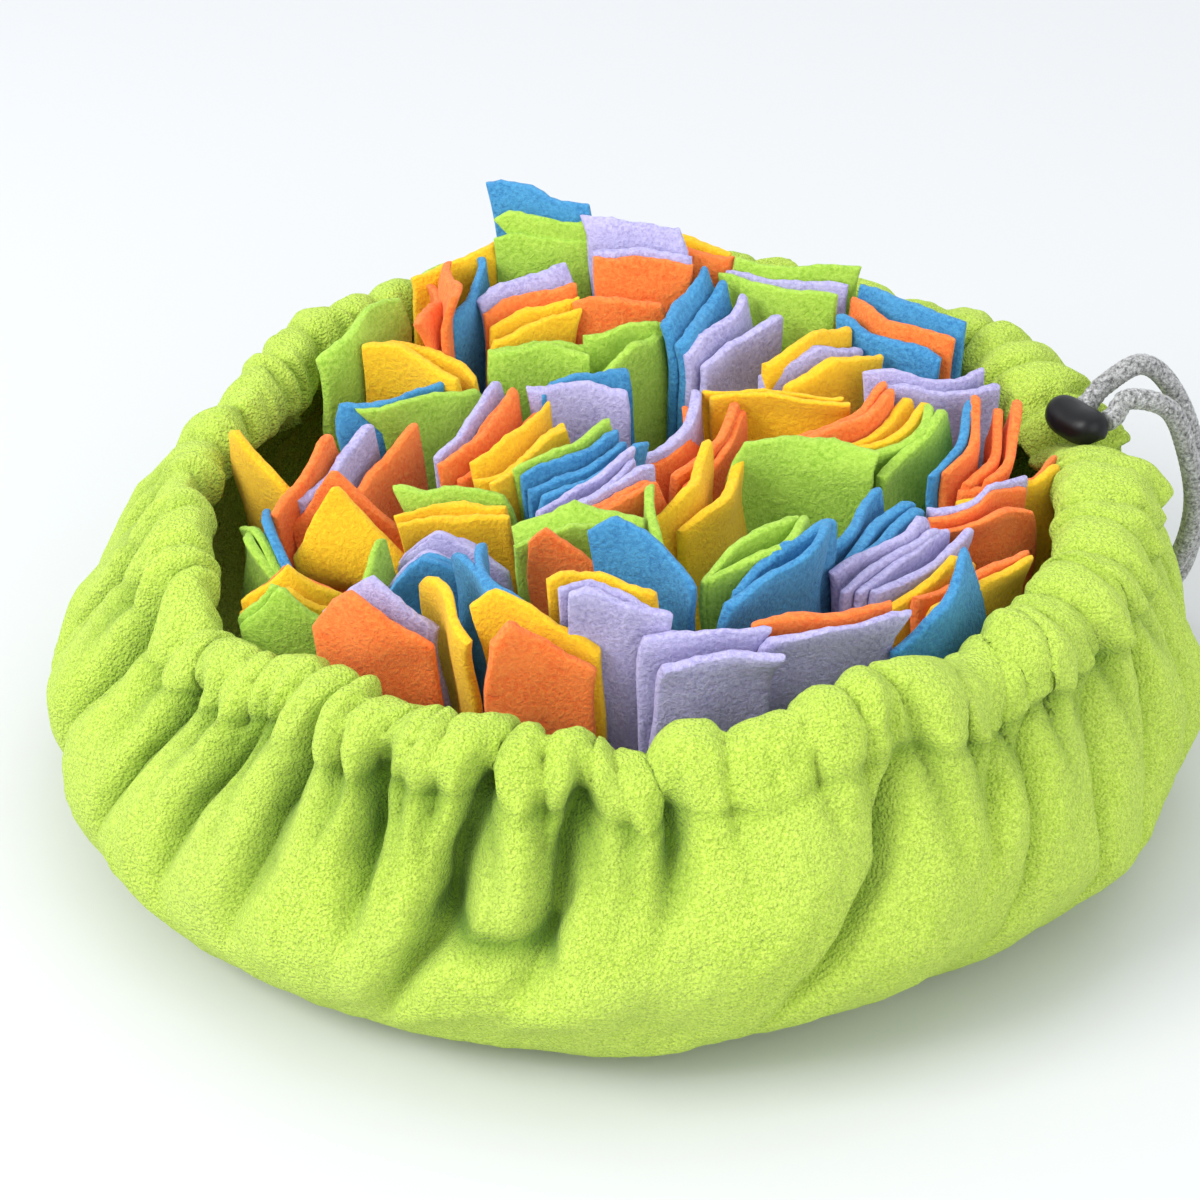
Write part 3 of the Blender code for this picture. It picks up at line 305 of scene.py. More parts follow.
def panel_groove(angle, radius, height):
    """How far the panel between the two deepest creases goes in, and the painted shade of its pile
    colour.

    A bell makes the groove, which drops to the right, and a step above it draws the cloth in up
    to the casing."""
    above = height - GROOVE_HEIGHT + GROOVE_SLOPE * (angle - GROOVE_ANGLE)
    drawn_in = smooth_step(above / 6.0) * smooth_step((PANEL_TOP - height) / 14.0)
    groove = GROOVE_DEPTH * bell(above / GROOVE_WIDTH) + PANEL_DEPTH * drawn_in
    on_wall = (height > 20.0) * (radius > 138.0)
    groove = groove * between(angle, PANEL, PANEL_EDGE) * on_wall
    return groove, PAINTED_GROOVE_SHADE * groove * bell(above / 4.0)


def casing_wrinkles(angle, radius, height):
    """Fine wrinkles of the casing: one part of the unevenness, drawn out along its section."""
    drawn_out = np.stack(np.broadcast_arrays(angle * 2.2, height * 0.22, radius * 0.3), -1)
    pushes = unevenness(drawn_out.reshape(-1, 3), WRINKLE_LENGTH, 8).reshape(drawn_out.shape)
    return pushes[..., 0] * np.interp(height, (SEAM_HEIGHT - 1.0, SEAM_HEIGHT + 6.0), (0.0, 1.0))


def bowl_point(fold, part, radius, height, crease_share, ruffle_share):
    """Point of the bowl's surface, with the painted shade of its pile colour as a fourth number.

    The section's radius is changed by the bowl's shape out of round, the creases, the ruffles,
    tucks and wrinkles of the casing, the groove and the row of stitches. Its height is changed by
    the bowl's shape, the waves of the crest, the ruffles and the dip for the cord lock."""
    angle, inwards, crease_slide, painted_crease_shade = wall_creases(fold, part, radius, height)
    swell, ruffle_slide, tuck, fill = casing_ruffles(angle, radius, height)
    groove, painted_groove_shade = panel_groove(angle, radius, height)
    wrinkles = casing_wrinkles(angle, radius, height)
    stitch = bell((height - SEAM_HEIGHT - 0.5) / STITCH_WIDTH) * (radius > CASING_RADIUS)
    # across goes from -1 on the inner side of the casing to 1 on its outer side
    across = np.clip((radius - CASING_RADIUS) / 10.0, -1.0, 1.0)
    on_casing = np.interp(height, (SEAM_HEIGHT - 3.0, SEAM_HEIGHT + 3.0), (0.0, 1.0))
    foot, bulge, rim, widening, lift = (through(column, angle % 360.0 / 30.0, True)
                                        for column in OUT_OF_ROUND.T)
    out = (radius + foot * np.interp(height, SHAPE_LEVELS, (1.0, 0.0, 0.0))
           + bulge * np.interp(height, SHAPE_LEVELS, (0.0, 1.0, 0.0))
           + rim * np.interp(height, SHAPE_LEVELS, (0.0, 0.0, 1.0)) + widening * across * on_casing)
    out = out - crease_share * inwards + ruffle_share * swell * across - tuck + fill
    out = out - groove - STITCH_DEPTH * stitch + WRINKLE_REACH * wrinkles * across

    wave_angles, wave_heights, wave_widths = CREST_WAVES.T
    wave = wave_heights * bell(from_angle(angle[..., None], wave_angles) / wave_widths)
    dip = LOCK_DIP * bell(from_angle(angle, LOCK_ANGLE) / LOCK_DIP_WIDTH)
    near_crest = np.interp(height, (SEAM_HEIGHT, SEAM_HEIGHT + 12.0), (0.0, 1.0))
    up = height + lift * height / CREST_HEIGHT + ruffle_share * (swell - dip) * near_crest
    up = up + wave.sum(-1) * np.interp(height, (45.0, 80.0), (0.0, 1.0))
    turn = np.radians(angle) + (crease_share * crease_slide + ruffle_share * ruffle_slide) / out
    # painted shade of the pile colour: darker in the creases, the stitch groove, the tucks, the
    # groove and the hollows of the wrinkles
    painted_shade = (crease_share * painted_crease_shade + PAINTED_SEAM_SHADE * stitch + PAINTED_TUCK_SHADE * tuck + painted_groove_shade
             - PAINTED_WRINKLE_SHADE * np.minimum(wrinkles, 0.0))
    return np.stack(np.broadcast_arrays(out * np.cos(turn), out * np.sin(turn), up, painted_shade), -1)


def put_piece(name, points, faces, finishes, finish_index=None, uv=None, marks=None):
    """A smooth mesh piece: points (n, 3) in millimetres, and arrays of quads and of triangles.

    uv gives two numbers for each point, and marks names further numbers kept on the points."""
    mesh = bpy.data.meshes.new(name)
    corners = np.concatenate([f.ravel() for f in faces]).astype(np.int32)
    sizes = np.concatenate([np.full(len(f), f.shape[1]) for f in faces]).astype(np.int32)
    mesh.vertices.add(len(points))
    mesh.vertices.foreach_set("co", (np.asarray(points, float) * MM).ravel())
    mesh.loops.add(len(corners))
    mesh.loops.foreach_set("vertex_index", corners)
    mesh.polygons.add(len(sizes))
    mesh.polygons.foreach_set("loop_start", (np.cumsum(sizes) - sizes).astype(np.int32))
    mesh.polygons.foreach_set("loop_total", sizes)
    if finish_index is not None:
        mesh.polygons.foreach_set("material_index", np.asarray(finish_index, np.int32))
    if uv is not None:
        mesh.uv_layers.new(name="along").data.foreach_set("uv", uv[corners].ravel())
    for mark, values in (marks or {}).items():
        mesh.attributes.new(mark, "FLOAT", "POINT").data.foreach_set("value", values)
    mesh.update(calc_edges=True)
    mesh.shade_smooth()
    for finish in finishes:
        mesh.materials.append(finish)
    made = bpy.data.objects.new(name, mesh)
    bpy.context.collection.objects.link(made)
    return made


def new_finish(name, roughness, **sockets):
    """A material with a Principled shader, whose other sockets are set by name."""
    made = bpy.data.materials.new(name)
    made.use_nodes = True
    shader = made.node_tree.nodes["Principled BSDF"]
    shader.inputs["Roughness"].default_value = roughness
    for socket, value in sockets.items():
        shader.inputs[socket.replace("_", " ")].default_value = value
    return made, shader


def node(finish, kind, sockets, **settings):
    """One more node of a material; each socket takes a value or another node's output."""
    made = finish.node_tree.nodes.new("ShaderNode" + kind)
    for key, value in settings.items():
        setattr(made, key, value)
    for key, value in sockets.items():
        if isinstance(value, bpy.types.NodeSocket):
            finish.node_tree.links.new(value, made.inputs[key])
        else:
            made.inputs[key].default_value = value
    return made


def blend_colours(finish, share, low, high):
    """A colour that goes from one to another, or from one node's colour, as share rises."""
    mix = finish.node_tree.nodes.new("ShaderNodeMix")
    mix.data_type = "RGBA"
    finish.node_tree.links.new(share, mix.inputs[0])
    for socket, colour in ((mix.inputs[6], low), (mix.inputs[7], high)):
        if isinstance(colour, bpy.types.NodeSocket):
            finish.node_tree.links.new(colour, socket)
        else:
            socket.default_value = (*colour, 1.0)
    return mix.outputs[2]


def ring_faces(rows, columns):
    """Quads of a grid that is closed round its columns, facing outwards for a rising grid."""
    ring = np.arange(columns)
    after = (ring + 1) % columns
    low = (np.arange(rows - 1) * columns)[:, None]
    quads = np.stack((low + ring, low + after, low + columns + after, low + columns + ring), -1)
    return quads.reshape(-1, 4)


# rows of the section, closer together where it bends
row_place = np.append(np.concatenate([k + np.arange(n) / n for k, n in enumerate(ROWS_BETWEEN)]),
                      len(PROFILE) - 1)
section = through(PROFILE, row_place)
section[:, 1] = np.maximum(section[:, 1], 0.0)
# columns shared out by the distances of the creases, and closer together beside each crease
spans = np.diff(np.append(CREASES[:, ANGLE], CREASES[0, ANGLE] + 360.0))
counts = np.maximum(np.round(BOWL_COLUMNS * spans / 360.0).astype(int), FEWEST_COLUMNS)
fold = np.repeat(np.arange(len(CREASES)), counts)
step = (np.arange(len(fold)) - np.repeat(np.cumsum(counts) - counts, counts)) / counts[fold]
part = step - 0.5 * np.sin(2 * np.pi * step) / (2 * np.pi)
shaded_grid = bowl_point(fold[None, :], part[None, :], *section.T[:, :, None])
# the fourth number of each point is the painted shade of the pile colour
bowl_grid, painted_fold_shade = shaded_grid[..., :3], shaded_grid[..., 3]
loose = smooth_step(bowl_grid[..., 2] / BOWL_LOOSE_HEIGHT)[..., None]
for wavelength, reach, seed in BOWL_UNEVENNESS:
    push = unevenness(bowl_grid.reshape(-1, 3), wavelength, seed).reshape(bowl_grid.shape)
    bowl_grid = bowl_grid + reach * loose * push

# the grid is closed by one point below and one above the middle of the base
rows, columns = bowl_grid.shape[:2]
bottom, top = rows * columns, rows * columns + 1
bowl_points = np.concatenate((bowl_grid.reshape(-1, 3), ((0.0, 0.0, 0.0), (0.0, 0.0, 3.0))))
ring = np.arange(columns)
after = (ring + 1) % columns
last = (rows - 1) * columns
bowl_faces = [ring_faces(rows, columns),
              np.concatenate((np.stack((after, ring, np.full(columns, bottom)), -1),
                              np.stack((last + ring, last + after, np.full(columns, top)), -1)))]

# a pile of small knobs, mottled from deep to pale lime, with painted shade in the hollows between
# the knobs and deeper painted shade down in the folds
fleece, fleece_shader = new_finish("lime_fleece", 0.92, Sheen_Weight=0.06, Sheen_Roughness=0.5)
spot = node(fleece, "TexCoord", {}).outputs["Object"]
patches = node(fleece, "TexNoise", {"Vector": spot, "Scale": 30.0, "Detail": 2.0})
knobs = node(fleece, "TexNoise", {"Vector": spot, "Scale": 1500.0, "Detail": 3.0, "Roughness": 0.6})
grains = node(fleece, "TexVoronoi", {"Vector": spot, "Scale": 1350.0, "Randomness": 1.0},
              feature="SMOOTH_F1")
# the knob mottle is partly the fleece's own speckle and partly painted shade, its deep end lying in
# the hollows of the bumped pile
knob_tone_and_hollow_shade = node(fleece, "MapRange", {"Value": knobs.outputs["Fac"], "From Min": 0.32,
                                  "From Max": 0.62})
colour = blend_colours(fleece, knob_tone_and_hollow_shade.outputs["Result"], (0.35, 0.55, 0.02), (0.62, 0.81, 0.10))
wide = node(fleece, "MapRange", {"Value": patches.outputs["Fac"], "From Min": 0.3,
                                 "From Max": 0.7, "To Max": 0.35})
colour = blend_colours(fleece, wide.outputs["Result"], colour, (0.55, 0.72, 0.12))
# painted shade: the "fold" mark turns the pile colour towards dark green in the creases, tucks,
# groove and stitches
painted_shade_mark = node(fleece, "Attribute", {}, attribute_name="fold").outputs["Fac"]
painted_shade_share = node(fleece, "MapRange", {"Value": painted_shade_mark, "From Min": 0.05, "From Max": 1.0,
                                       "To Max": 0.95})
colour = blend_colours(fleece, painted_shade_share.outputs["Result"], colour, (0.13, 0.26, 0.006))
fleece.node_tree.links.new(colour, fleece_shader.inputs["Base Color"])
relief = node(fleece, "Math", {0: knobs.outputs["Fac"], 1: grains.outputs["Distance"]},
              operation="SUBTRACT")
pile = node(fleece, "Bump", {"Height": relief.outputs["Value"], "Strength": 1.0,
                             "Distance": 0.0012})
fleece.node_tree.links.new(pile.outputs["Normal"], fleece_shader.inputs["Normal"])

# the "fold" mark on the points carries the painted shade of the pile
bowl = put_piece("fleece_bowl", bowl_points, bowl_faces, [fleece],
                 marks={"fold": np.append(painted_fold_shade.ravel(), (0.0, 0.0))})
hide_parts("fleece_shell")
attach(bowl, "root")

# ---------------------------------------------------------------- strips
# Fleece strips 32 mm wide, sewn to the base by their middle in bundles of up to five, so that
# they stand up as leaves with cut edges. Each one bows and twists a little in its own way.
STRIP_WIDTH = 32.0
STRIP_THICKNESS = 2.7
STRIP_EDGE = 0.7                      # the rounding of the top edge
SIDE_EDGE = 0.955                     # share of the half width where the sides start to round
STRIP_FOOT = 3.4                      # where a strip starts, just above the base
ROOT_TOP = 7.0                        # where the strips of a CAD bundle leave their shared root
FRONT_RISE = 9.0                      # how much taller the strips in front stand
FRONT_START, FRONT_FULL = -45.0, 25.0    # where that begins in Y, and how much nearer it is full
# The deep and the pale tone of each fleece: green, orange, yellow, blue and pale purple.
STRIP_COLOURS = {
    "g": ((0.24, 0.46, 0.018), (0.47, 0.71, 0.085)),
    "o": ((0.90, 0.11, 0.006), (1.00, 0.27, 0.045)),
    "y": ((0.86, 0.42, 0.00), (1.00, 0.62, 0.01)),
    "b": ((0.012, 0.15, 0.38), (0.07, 0.34, 0.62)),
    "p": ((0.30, 0.27, 0.54), (0.57, 0.53, 0.82)),
}
# Each bundle's colours from its back strip to its front one; then how far its strips bow across
# their width, wave near their tips, and hang their top corners.
BUNDLES = {
    "back_rim": ("g", 2.0, 1.0, 0.0), "back_edges": ("oo", 2.5, 1.5, 0.0),
    "back_mustard": ("y", 1.5, 1.0, 0.0), "back_blue": ("b", 2.5, 1.0, 0.0),
    "back_yellow": ("yy", -2.0, 1.0, 0.0), "back_tall": ("bgg", 1.0, 0.8, 0.0),
    "back_stack": ("poyy", 0.8, 0.5, 0.0), "back_lavender": ("ppo", 1.0, 0.5, 0.0),
    "back_mixed": ("ogg", 1.0, 0.5, 0.0), "back_green": ("gg", 1.0, 0.5, 0.0),
    "back_lean": ("bbpp", 1.5, 0.8, 0.0), "back_right_orange": ("yo", 1.0, 0.5, 0.0),
    "back_right_green": ("gpg", 1.5, 0.5, 0.0), "back_right_blue": ("bob", 1.5, 0.8, 0.0),
    "back_right_yellow": ("ypy", 1.5, 0.8, 0.0), "mid_blue": ("bg", 2.0, 0.8, 0.0),
    "mid_pair": ("bp", -1.5, 0.8, 0.0), "mid_orange": ("pooo", 1.5, 1.0, 0.0),
    "mid_yellow": ("yyy", 1.5, 1.0, 0.0), "mid_fan": ("ggbbb", 1.8, 0.6, 0.0),
    "mid_lavender": ("pppoo", 1.5, 0.8, 0.0), "mid_green": ("gyy", -2.0, 0.5, 0.0),
    "arch": ("pppbb", 3.5, 0.5, 6.0), "edge_blue": ("bby", 2.5, 2.0, 2.0),
    "big_yellow": ("oy", 1.5, 0.5, 0.0), "left_orange": ("opo", 1.0, 0.5, 0.0),
    "left_leaf": ("y", 3.0, 0.5, 0.0), "left_rim": ("bgg", 2.5, 1.0, 2.0),
    "left_yellow": ("oyy", 1.5, 0.5, 0.0), "big_green": ("gg", 1.5, 0.8, 0.0),
    "green_leaf": ("g", 3.5, 1.0, 0.0), "front_corner": ("po", 1.5, 0.6, 0.0),
    "front_orange": ("yo", 1.5, 0.8, 0.0), "front_lavender": ("ypp", -2.0, 0.8, 0.0),
    "corner_orange": ("o", -2.5, 0.5, 0.0), "green_pair": ("gg", 2.0, 0.8, 0.0),
    "corner_blue": ("b", -2.0, 0.8, 0.0), "centre_leaf": ("g", 3.0, 1.0, 0.0),
    "tall_yellow": ("yy", 3.5, 1.0, 0.0), "big_leaf": ("g", -2.5, 1.0, 0.0),
    "stacked": ("yygg", 2.0, 1.2, 0.0), "inner_orange": ("pooo", 1.5, 1.0, 0.0),
    "inner_yellow": ("yy", 1.5, 0.8, 0.0), "back_pair": ("oo", 1.5, 0.8, 0.0),
    "far_orange": ("booo", 1.5, 0.8, 0.0), "far_lavender": ("pp", 1.5, 0.8, 0.0),
    "wave_green": ("ggbb", 1.5, 2.5, 0.0), "long_blue": ("bbb", 1.2, 1.5, 0.0),
    "long_lavender": ("pppp", 1.2, 1.2, 0.0), "right_mixed": ("poo", 2.0, 1.0, 0.0),
    "right_rim": ("oy", 2.0, 1.2, 0.0), "right_corner": ("y", 1.5, 0.5, 0.0),
    "right_low": ("oy", 2.0, 0.8, 0.0), "low_orange": ("op", 1.5, 0.8, 0.0),
    "blue_leaf": ("b", 2.5, 0.6, 0.0), "low_lavender": ("pp", 1.5, 0.8, 0.0),
}
# Leaves that turn further than their CAD strips on their way up, in radians.
TWISTS = {"left_leaf": 0.7, "green_leaf": -0.6}
# The least and the most that single strips differ at their tips: the turn in radians, the lean,
# the lean to the side and the extra height; then how the tip bends and its two corners curl.
SWAYS = ((-0.07, -1.0, -1.5, -1.5), (0.07, 1.0, 1.5, 2.0))
CURLS = ((-1.2, -2.4, -2.4), (1.2, 2.4, 2.4))
RAGGEDNESS = ((9.0, 0.22), (23.0, 0.16))     # waves of the cut top edge: how close and how high
# The warp that all the strips share: wavelength, reach and seed of each layer of it.
STRIP_WARPS = ((170.0, 4.0, 11), (26.0, 0.7, 12))
STRIP_LOOSE_HEIGHT = 70.0
# Places of the points: across the half width, below the top edge, and up the strip.
EDGE_PLACES = np.array((-1.0, -0.994, -0.98, -0.955, -0.86))
WIDTH_PLACES = np.concatenate((EDGE_PLACES, np.linspace(-0.72, 0.72, 13), -EDGE_PLACES[::-1]))
END_PLACES = np.array((1.0, 0.45, 0.12, 0.0)) * STRIP_EDGE
RISE_PLACES = np.linspace(0.0, 1.0, 26)


def strips_in(name):
    """The strips sewn into one CAD bundle, from its back one to its front one.

    The CAD node is split where its strips leave their shared root. Each strip is a stack of
    four-cornered rings and a top ring of six points. It gives its middle line, its heading at
    the root and the turn up to its tip, its top edge's falls to the left and to the right, and
    the place of the peak between them."""
    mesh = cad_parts["strips_" + name].data
    raw = np.empty(3 * len(mesh.vertices))
    mesh.vertices.foreach_get("co", raw)
    corner = np.empty(len(mesh.loops), int)
    mesh.loops.foreach_get("vertex_index", corner)
    points, same = np.unique(np.round(raw.reshape(-1, 3) / MM, 2), axis=0, return_inverse=True)
    faces = same.reshape(-1)[corner].reshape(-1, 3)
    faces = faces[points[faces][..., 2].max(1) > ROOT_TOP + 0.1]
    # joined faces pass on their lowest label until each strip has one label
    label = np.arange(len(points))
    for _ in range(40):
        low = label[faces].min(1)
        np.minimum.at(label, faces.ravel(), np.repeat(low, 3))
    strips = []
    for group in np.unique(label[faces]):
        own = points[label == group]
        own = own[np.argsort(own[:, 2], kind="stable")]
        rings, top = own[:-6].reshape(-1, 4, 3), own[-6:]
        middle = rings.mean(1)
        sides = rings[:, :, :2] - middle[:, None, :2]
        long_way = np.linalg.svd(sides)[2][:, 0]
        long_way *= np.sign(long_way[:, :1] + 1e-9 * long_way[:, 1:])
        heading = np.unwrap(np.arctan2(long_way[:, 1], long_way[:, 0]), period=np.pi)
        rise = (middle[:, 2] - ROOT_TOP) / (top[:, 2].max() - ROOT_TOP)
        turn = (heading[-1] - heading[0]) / rise[-1]
        last = heading[0] + turn
        along = np.array((np.cos(last), np.sin(last)))
        top = top[np.argsort(top[:, :2] @ along)].reshape(3, 2, 3).mean(1)
        left, right = top[1, 2] - top[0, 2], top[1, 2] - top[2, 2]
        peak = (np.clip(left / (left + right), 0.08, 0.92) - 0.5) * STRIP_WIDTH
        tip = np.append(top[1, :2] - peak * along, top[1, 2])
        strips.append({"line": np.vstack((middle, tip)), "heading": heading[0], "turn": turn,
                       "left": left, "right": right, "peak": peak})
    across = np.array((-np.sin(strips[0]["heading"]), np.cos(strips[0]["heading"])))
    return sorted(strips, key=lambda strip: -strip["line"][0, :2] @ across)


def half_round(x):
    """Half the thickness of a round edge, as a share: the height of a circle over x."""
    return np.sqrt(np.clip(1.0 - x ** 2, 0.0, 1.0))


def strip_surface(strip, bow, wave, hang, twist, pick):
    """A strip as a closed sheet: rows of points up it, each row a flat loop round its width.

    Its middle line runs through the CAD bends, its heading turns evenly on the way up, and its
    top edge falls straight from a peak to both ends, cut a little unevenly. Across the width it
    bows as a parabola and waves as a sine, more so further up. Its tip leans and bends, and its
    corners curl and hang. Its thickness runs out in a half round at the sides and the top."""
    half = STRIP_WIDTH / 2
    wide = np.concatenate((WIDTH_PLACES, WIDTH_PLACES[-2:0:-1]))[None, :]
    face = np.repeat((-1.0, 1.0), (len(WIDTH_PLACES), len(WIDTH_PLACES) - 2))[None, :]
    x = half * wide
    peak, top = strip["peak"], strip["line"][-1, 2]
    fall = np.where(x < peak, strip["left"] * (peak - x) / (peak + half),
                    strip["right"] * (x - peak) / (half - peak))
    phase = pick.uniform(0.0, 2 * np.pi, 4)
    ragged = sum(high * np.sin(close * wide + start)
                 for (close, high), start in zip(RAGGEDNESS, phase))
    edge = top - fall + ragged
    below_edge = (edge - END_PLACES[0] - STRIP_FOOT) * RISE_PLACES[:, None]
    z = np.concatenate((STRIP_FOOT + below_edge, edge - END_PLACES[1:, None]))
    thin = half_round(np.clip(np.abs(wide) - SIDE_EDGE, 0.0, None) / (1.0 - SIDE_EDGE))
    short = np.append(np.ones(len(RISE_PLACES)), half_round(1.0 - END_PLACES[1:] / STRIP_EDGE))
    rise = np.clip((z - ROOT_TOP) / (top - ROOT_TOP), 0.0, 1.0)
    bends = strip["line"]
    middle = through(bends[:, :2], np.interp(z, bends[:, 2], np.arange(len(bends))))

    spin, lean, side_lean, taller = pick.uniform(*SWAYS)
    tip_bend, left_curl, right_curl = pick.uniform(*CURLS)
    in_front = smooth_step((FRONT_START - bends[-1, 1]) / FRONT_FULL)
    z = z + rise * taller + rise * FRONT_RISE * in_front
    x = x * (1.0 + 0.012 * np.sin(z / 6.0 + phase[2])) + side_lean * rise ** 1.5
    y = face * STRIP_THICKNESS / 2 * thin * short[:, None]
    y = y + bow * (wide ** 2 - 0.35) * rise ** 1.2
    y = y + wave * np.sin(2.4 * wide + phase[3]) * rise ** 1.6
    y = y + lean * rise ** 1.5 + tip_bend * rise ** 3
    y = y + np.where(wide < 0.0, left_curl, right_curl) * wide ** 2 * rise ** 4
    y = y - hang * 0.6 * np.abs(wide) ** 2.2 * rise ** 3
    z = z - hang * np.abs(wide) ** 2.4 * rise ** 2
    heading = strip["heading"] + (strip["turn"] + spin + twist) * rise
    along = np.stack((np.cos(heading), np.sin(heading)), -1)
    back = np.stack((-np.sin(heading), np.cos(heading)), -1)
    flat = middle + x[..., None] * along + y[..., None] * back
    return np.concatenate((flat, z[..., None]), -1)


def strip_faces(rows, half):
    """Quads round a strip's loops; its last loop is folded shut and its first one capped.

    rows counts the loops, and half the points across one of its faces."""
    loop = 2 * half - 2
    quads = ring_faces(rows, loop)
    front = np.arange(half - 1)
    back = (loop - front) % loop
    cap = np.stack((front, back, (loop - front - 1) % loop, front + 1), -1)[1:-1]
    ends = np.array(((0, loop - 1, 1), (half - 1, half - 2, half)))
    return quads, cap, ends


# the same fleece in five colours, with a finer mottle
finishes = {}
for colour, (deep, pale) in STRIP_COLOURS.items():
    cut_fleece, cut_shader = new_finish("strip_fleece_" + colour, 0.9, Sheen_Weight=0.08,
                                        Sheen_Roughness=0.5)
    spot = node(cut_fleece, "TexCoord", {}).outputs["Object"]
    mottle = node(cut_fleece, "TexNoise", {"Vector": spot, "Scale": 850.0, "Detail": 4.0,
                                           "Roughness": 0.7})
    clouds = node(cut_fleece, "TexNoise", {"Vector": spot, "Scale": 90.0, "Detail": 2.0})
    share = node(cut_fleece, "MapRange", {"Value": mottle.outputs["Fac"], "From Min": 0.33,
                                          "From Max": 0.66})
    tone = blend_colours(cut_fleece, share.outputs["Result"], deep, pale)
    cloud_share = node(cut_fleece, "MapRange", {"Value": clouds.outputs["Fac"],
                                                "From Min": 0.35, "From Max": 0.7,
                                                "To Max": 0.4})
    tone = blend_colours(cut_fleece, cloud_share.outputs["Result"], tone, pale)
    cut_fleece.node_tree.links.new(tone, cut_shader.inputs["Base Color"])
    nap = node(cut_fleece, "Bump", {"Height": mottle.outputs["Fac"], "Strength": 1.0,
                                    "Distance": 0.0010})
    cut_fleece.node_tree.links.new(nap.outputs["Normal"], cut_shader.inputs["Normal"])
    finishes[colour] = cut_fleece

# every strip has the same faces; in its last row the back of the loop takes the front's points
ACROSS = len(WIDTH_PLACES)
LOOP_ROWS = len(RISE_PLACES) + len(END_PLACES) - 1
quads, cap, cap_ends = strip_faces(LOOP_ROWS, ACROSS)
loop = 2 * ACROSS - 2
shut = np.arange(LOOP_ROWS * loop)
last_row = (LOOP_ROWS - 1) * loop
shut[last_row + np.arange(ACROSS, loop)] = last_row + np.arange(ACROSS - 2, 0, -1)
strip_quads = np.concatenate((shut[quads], cap))
side_edge = len(EDGE_PLACES) - 1
for number, (name, (colours, bow, wave, hang)) in enumerate(BUNDLES.items()):
    pick = np.random.RandomState(100 + number)
    strips = strips_in(name)
    used = sorted(set(colours))
    points, cut_lengths = [], []
    for strip in strips:
        surface = strip_surface(strip, bow * pick.uniform(0.8, 1.2), wave, hang,
                                TWISTS.get(name, 0.0), pick)
        edges_and_middle = surface[:, [side_edge, ACROSS // 2, ACROSS - 1 - side_edge]]
        cut_lengths.append(np.linalg.norm(np.diff(edges_and_middle, axis=0), axis=-1).sum(0).mean())
        points.append(surface.reshape(-1, 3))
    points = np.concatenate(points)
    loose = smooth_step(points[:, 2:] / STRIP_LOOSE_HEIGHT)
    points = points + loose * sum(reach * unevenness(points, wavelength, seed)
                                  for wavelength, reach, seed in STRIP_WARPS)
    starts = LOOP_ROWS * loop * np.arange(len(strips))[:, None, None]
    finish_of = [used.index(colour) for colour in colours]
    finish_index = np.concatenate((np.repeat(finish_of, len(strip_quads)),
                                   np.repeat(finish_of, len(cap_ends))))
    bundle = put_piece("fleece_" + name, points,
                       [(starts + strip_quads).reshape(-1, 4), (starts + cap_ends).reshape(-1, 3)],
                       [finishes[colour] for colour in used], finish_index)
    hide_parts("strips_" + name)
    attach(bundle, "root")

# ---------------------------------------------------------------- drawcord
# A soft braided polyester cord in grey melange, 6 mm thick. Both of its ends come out of the
# cord lock, and its loop hangs down the outside of the bowl and lies on the floor behind it.
CORD_DIAMETER = 6.0
CORD_ROUTE = (
    (124.56, 33.70, 87.86), (127.02, 35.42, 88.66), (131.11, 38.29, 92.36),
    (141.0, 41.0, 97.5), (150.0, 45.0, 90.0), (158.5, 48.0, 73.0), (164.0, 52.0, 48.0),
    (163.5, 60.0, 22.0), (159.0, 70.0, 7.0), (153.0, 83.0, 3.3), (142.0, 101.0, 3.3),
    (126.0, 120.0, 3.3), (106.0, 138.0, 3.3), (84.0, 151.0, 3.3), (62.0, 160.0, 3.3),
    (49.0, 161.0, 3.3), (46.0, 152.0, 3.3), (56.0, 146.0, 3.3), (76.0, 138.0, 3.3),
    (98.0, 125.0, 3.3), (117.0, 108.0, 3.3), (133.0, 89.0, 3.3), (147.0, 71.0, 5.0),
    (155.0, 59.0, 14.0), (160.5, 50.0, 32.0), (161.0, 43.5, 52.0), (156.0, 38.0, 72.0),
    (148.5, 32.5, 88.0),
    (136.85, 30.10, 92.36), (132.75, 27.23, 88.66), (130.30, 25.51, 87.86),
)
ROUTE_STEPS = 3000                    # points on the smooth curve through the route
CORD_ROWS, CORD_SIDES = 1000, 28
BRAID_PITCH = 9.0                     # length of cord for one turn of a strand
BRAID_STRANDS = 8                     # strands that run each way round
BRAID_RELIEF = 0.22


def evenly(line, count):
    """Points at equal distances along a line of many points."""
    far = np.concatenate(((0.0,), np.cumsum(np.linalg.norm(np.diff(line, axis=0), axis=1))))
    place = np.linspace(0.0, far[-1], count)
    return np.stack([np.interp(place, far, line[:, k]) for k in range(3)], -1), far[-1]


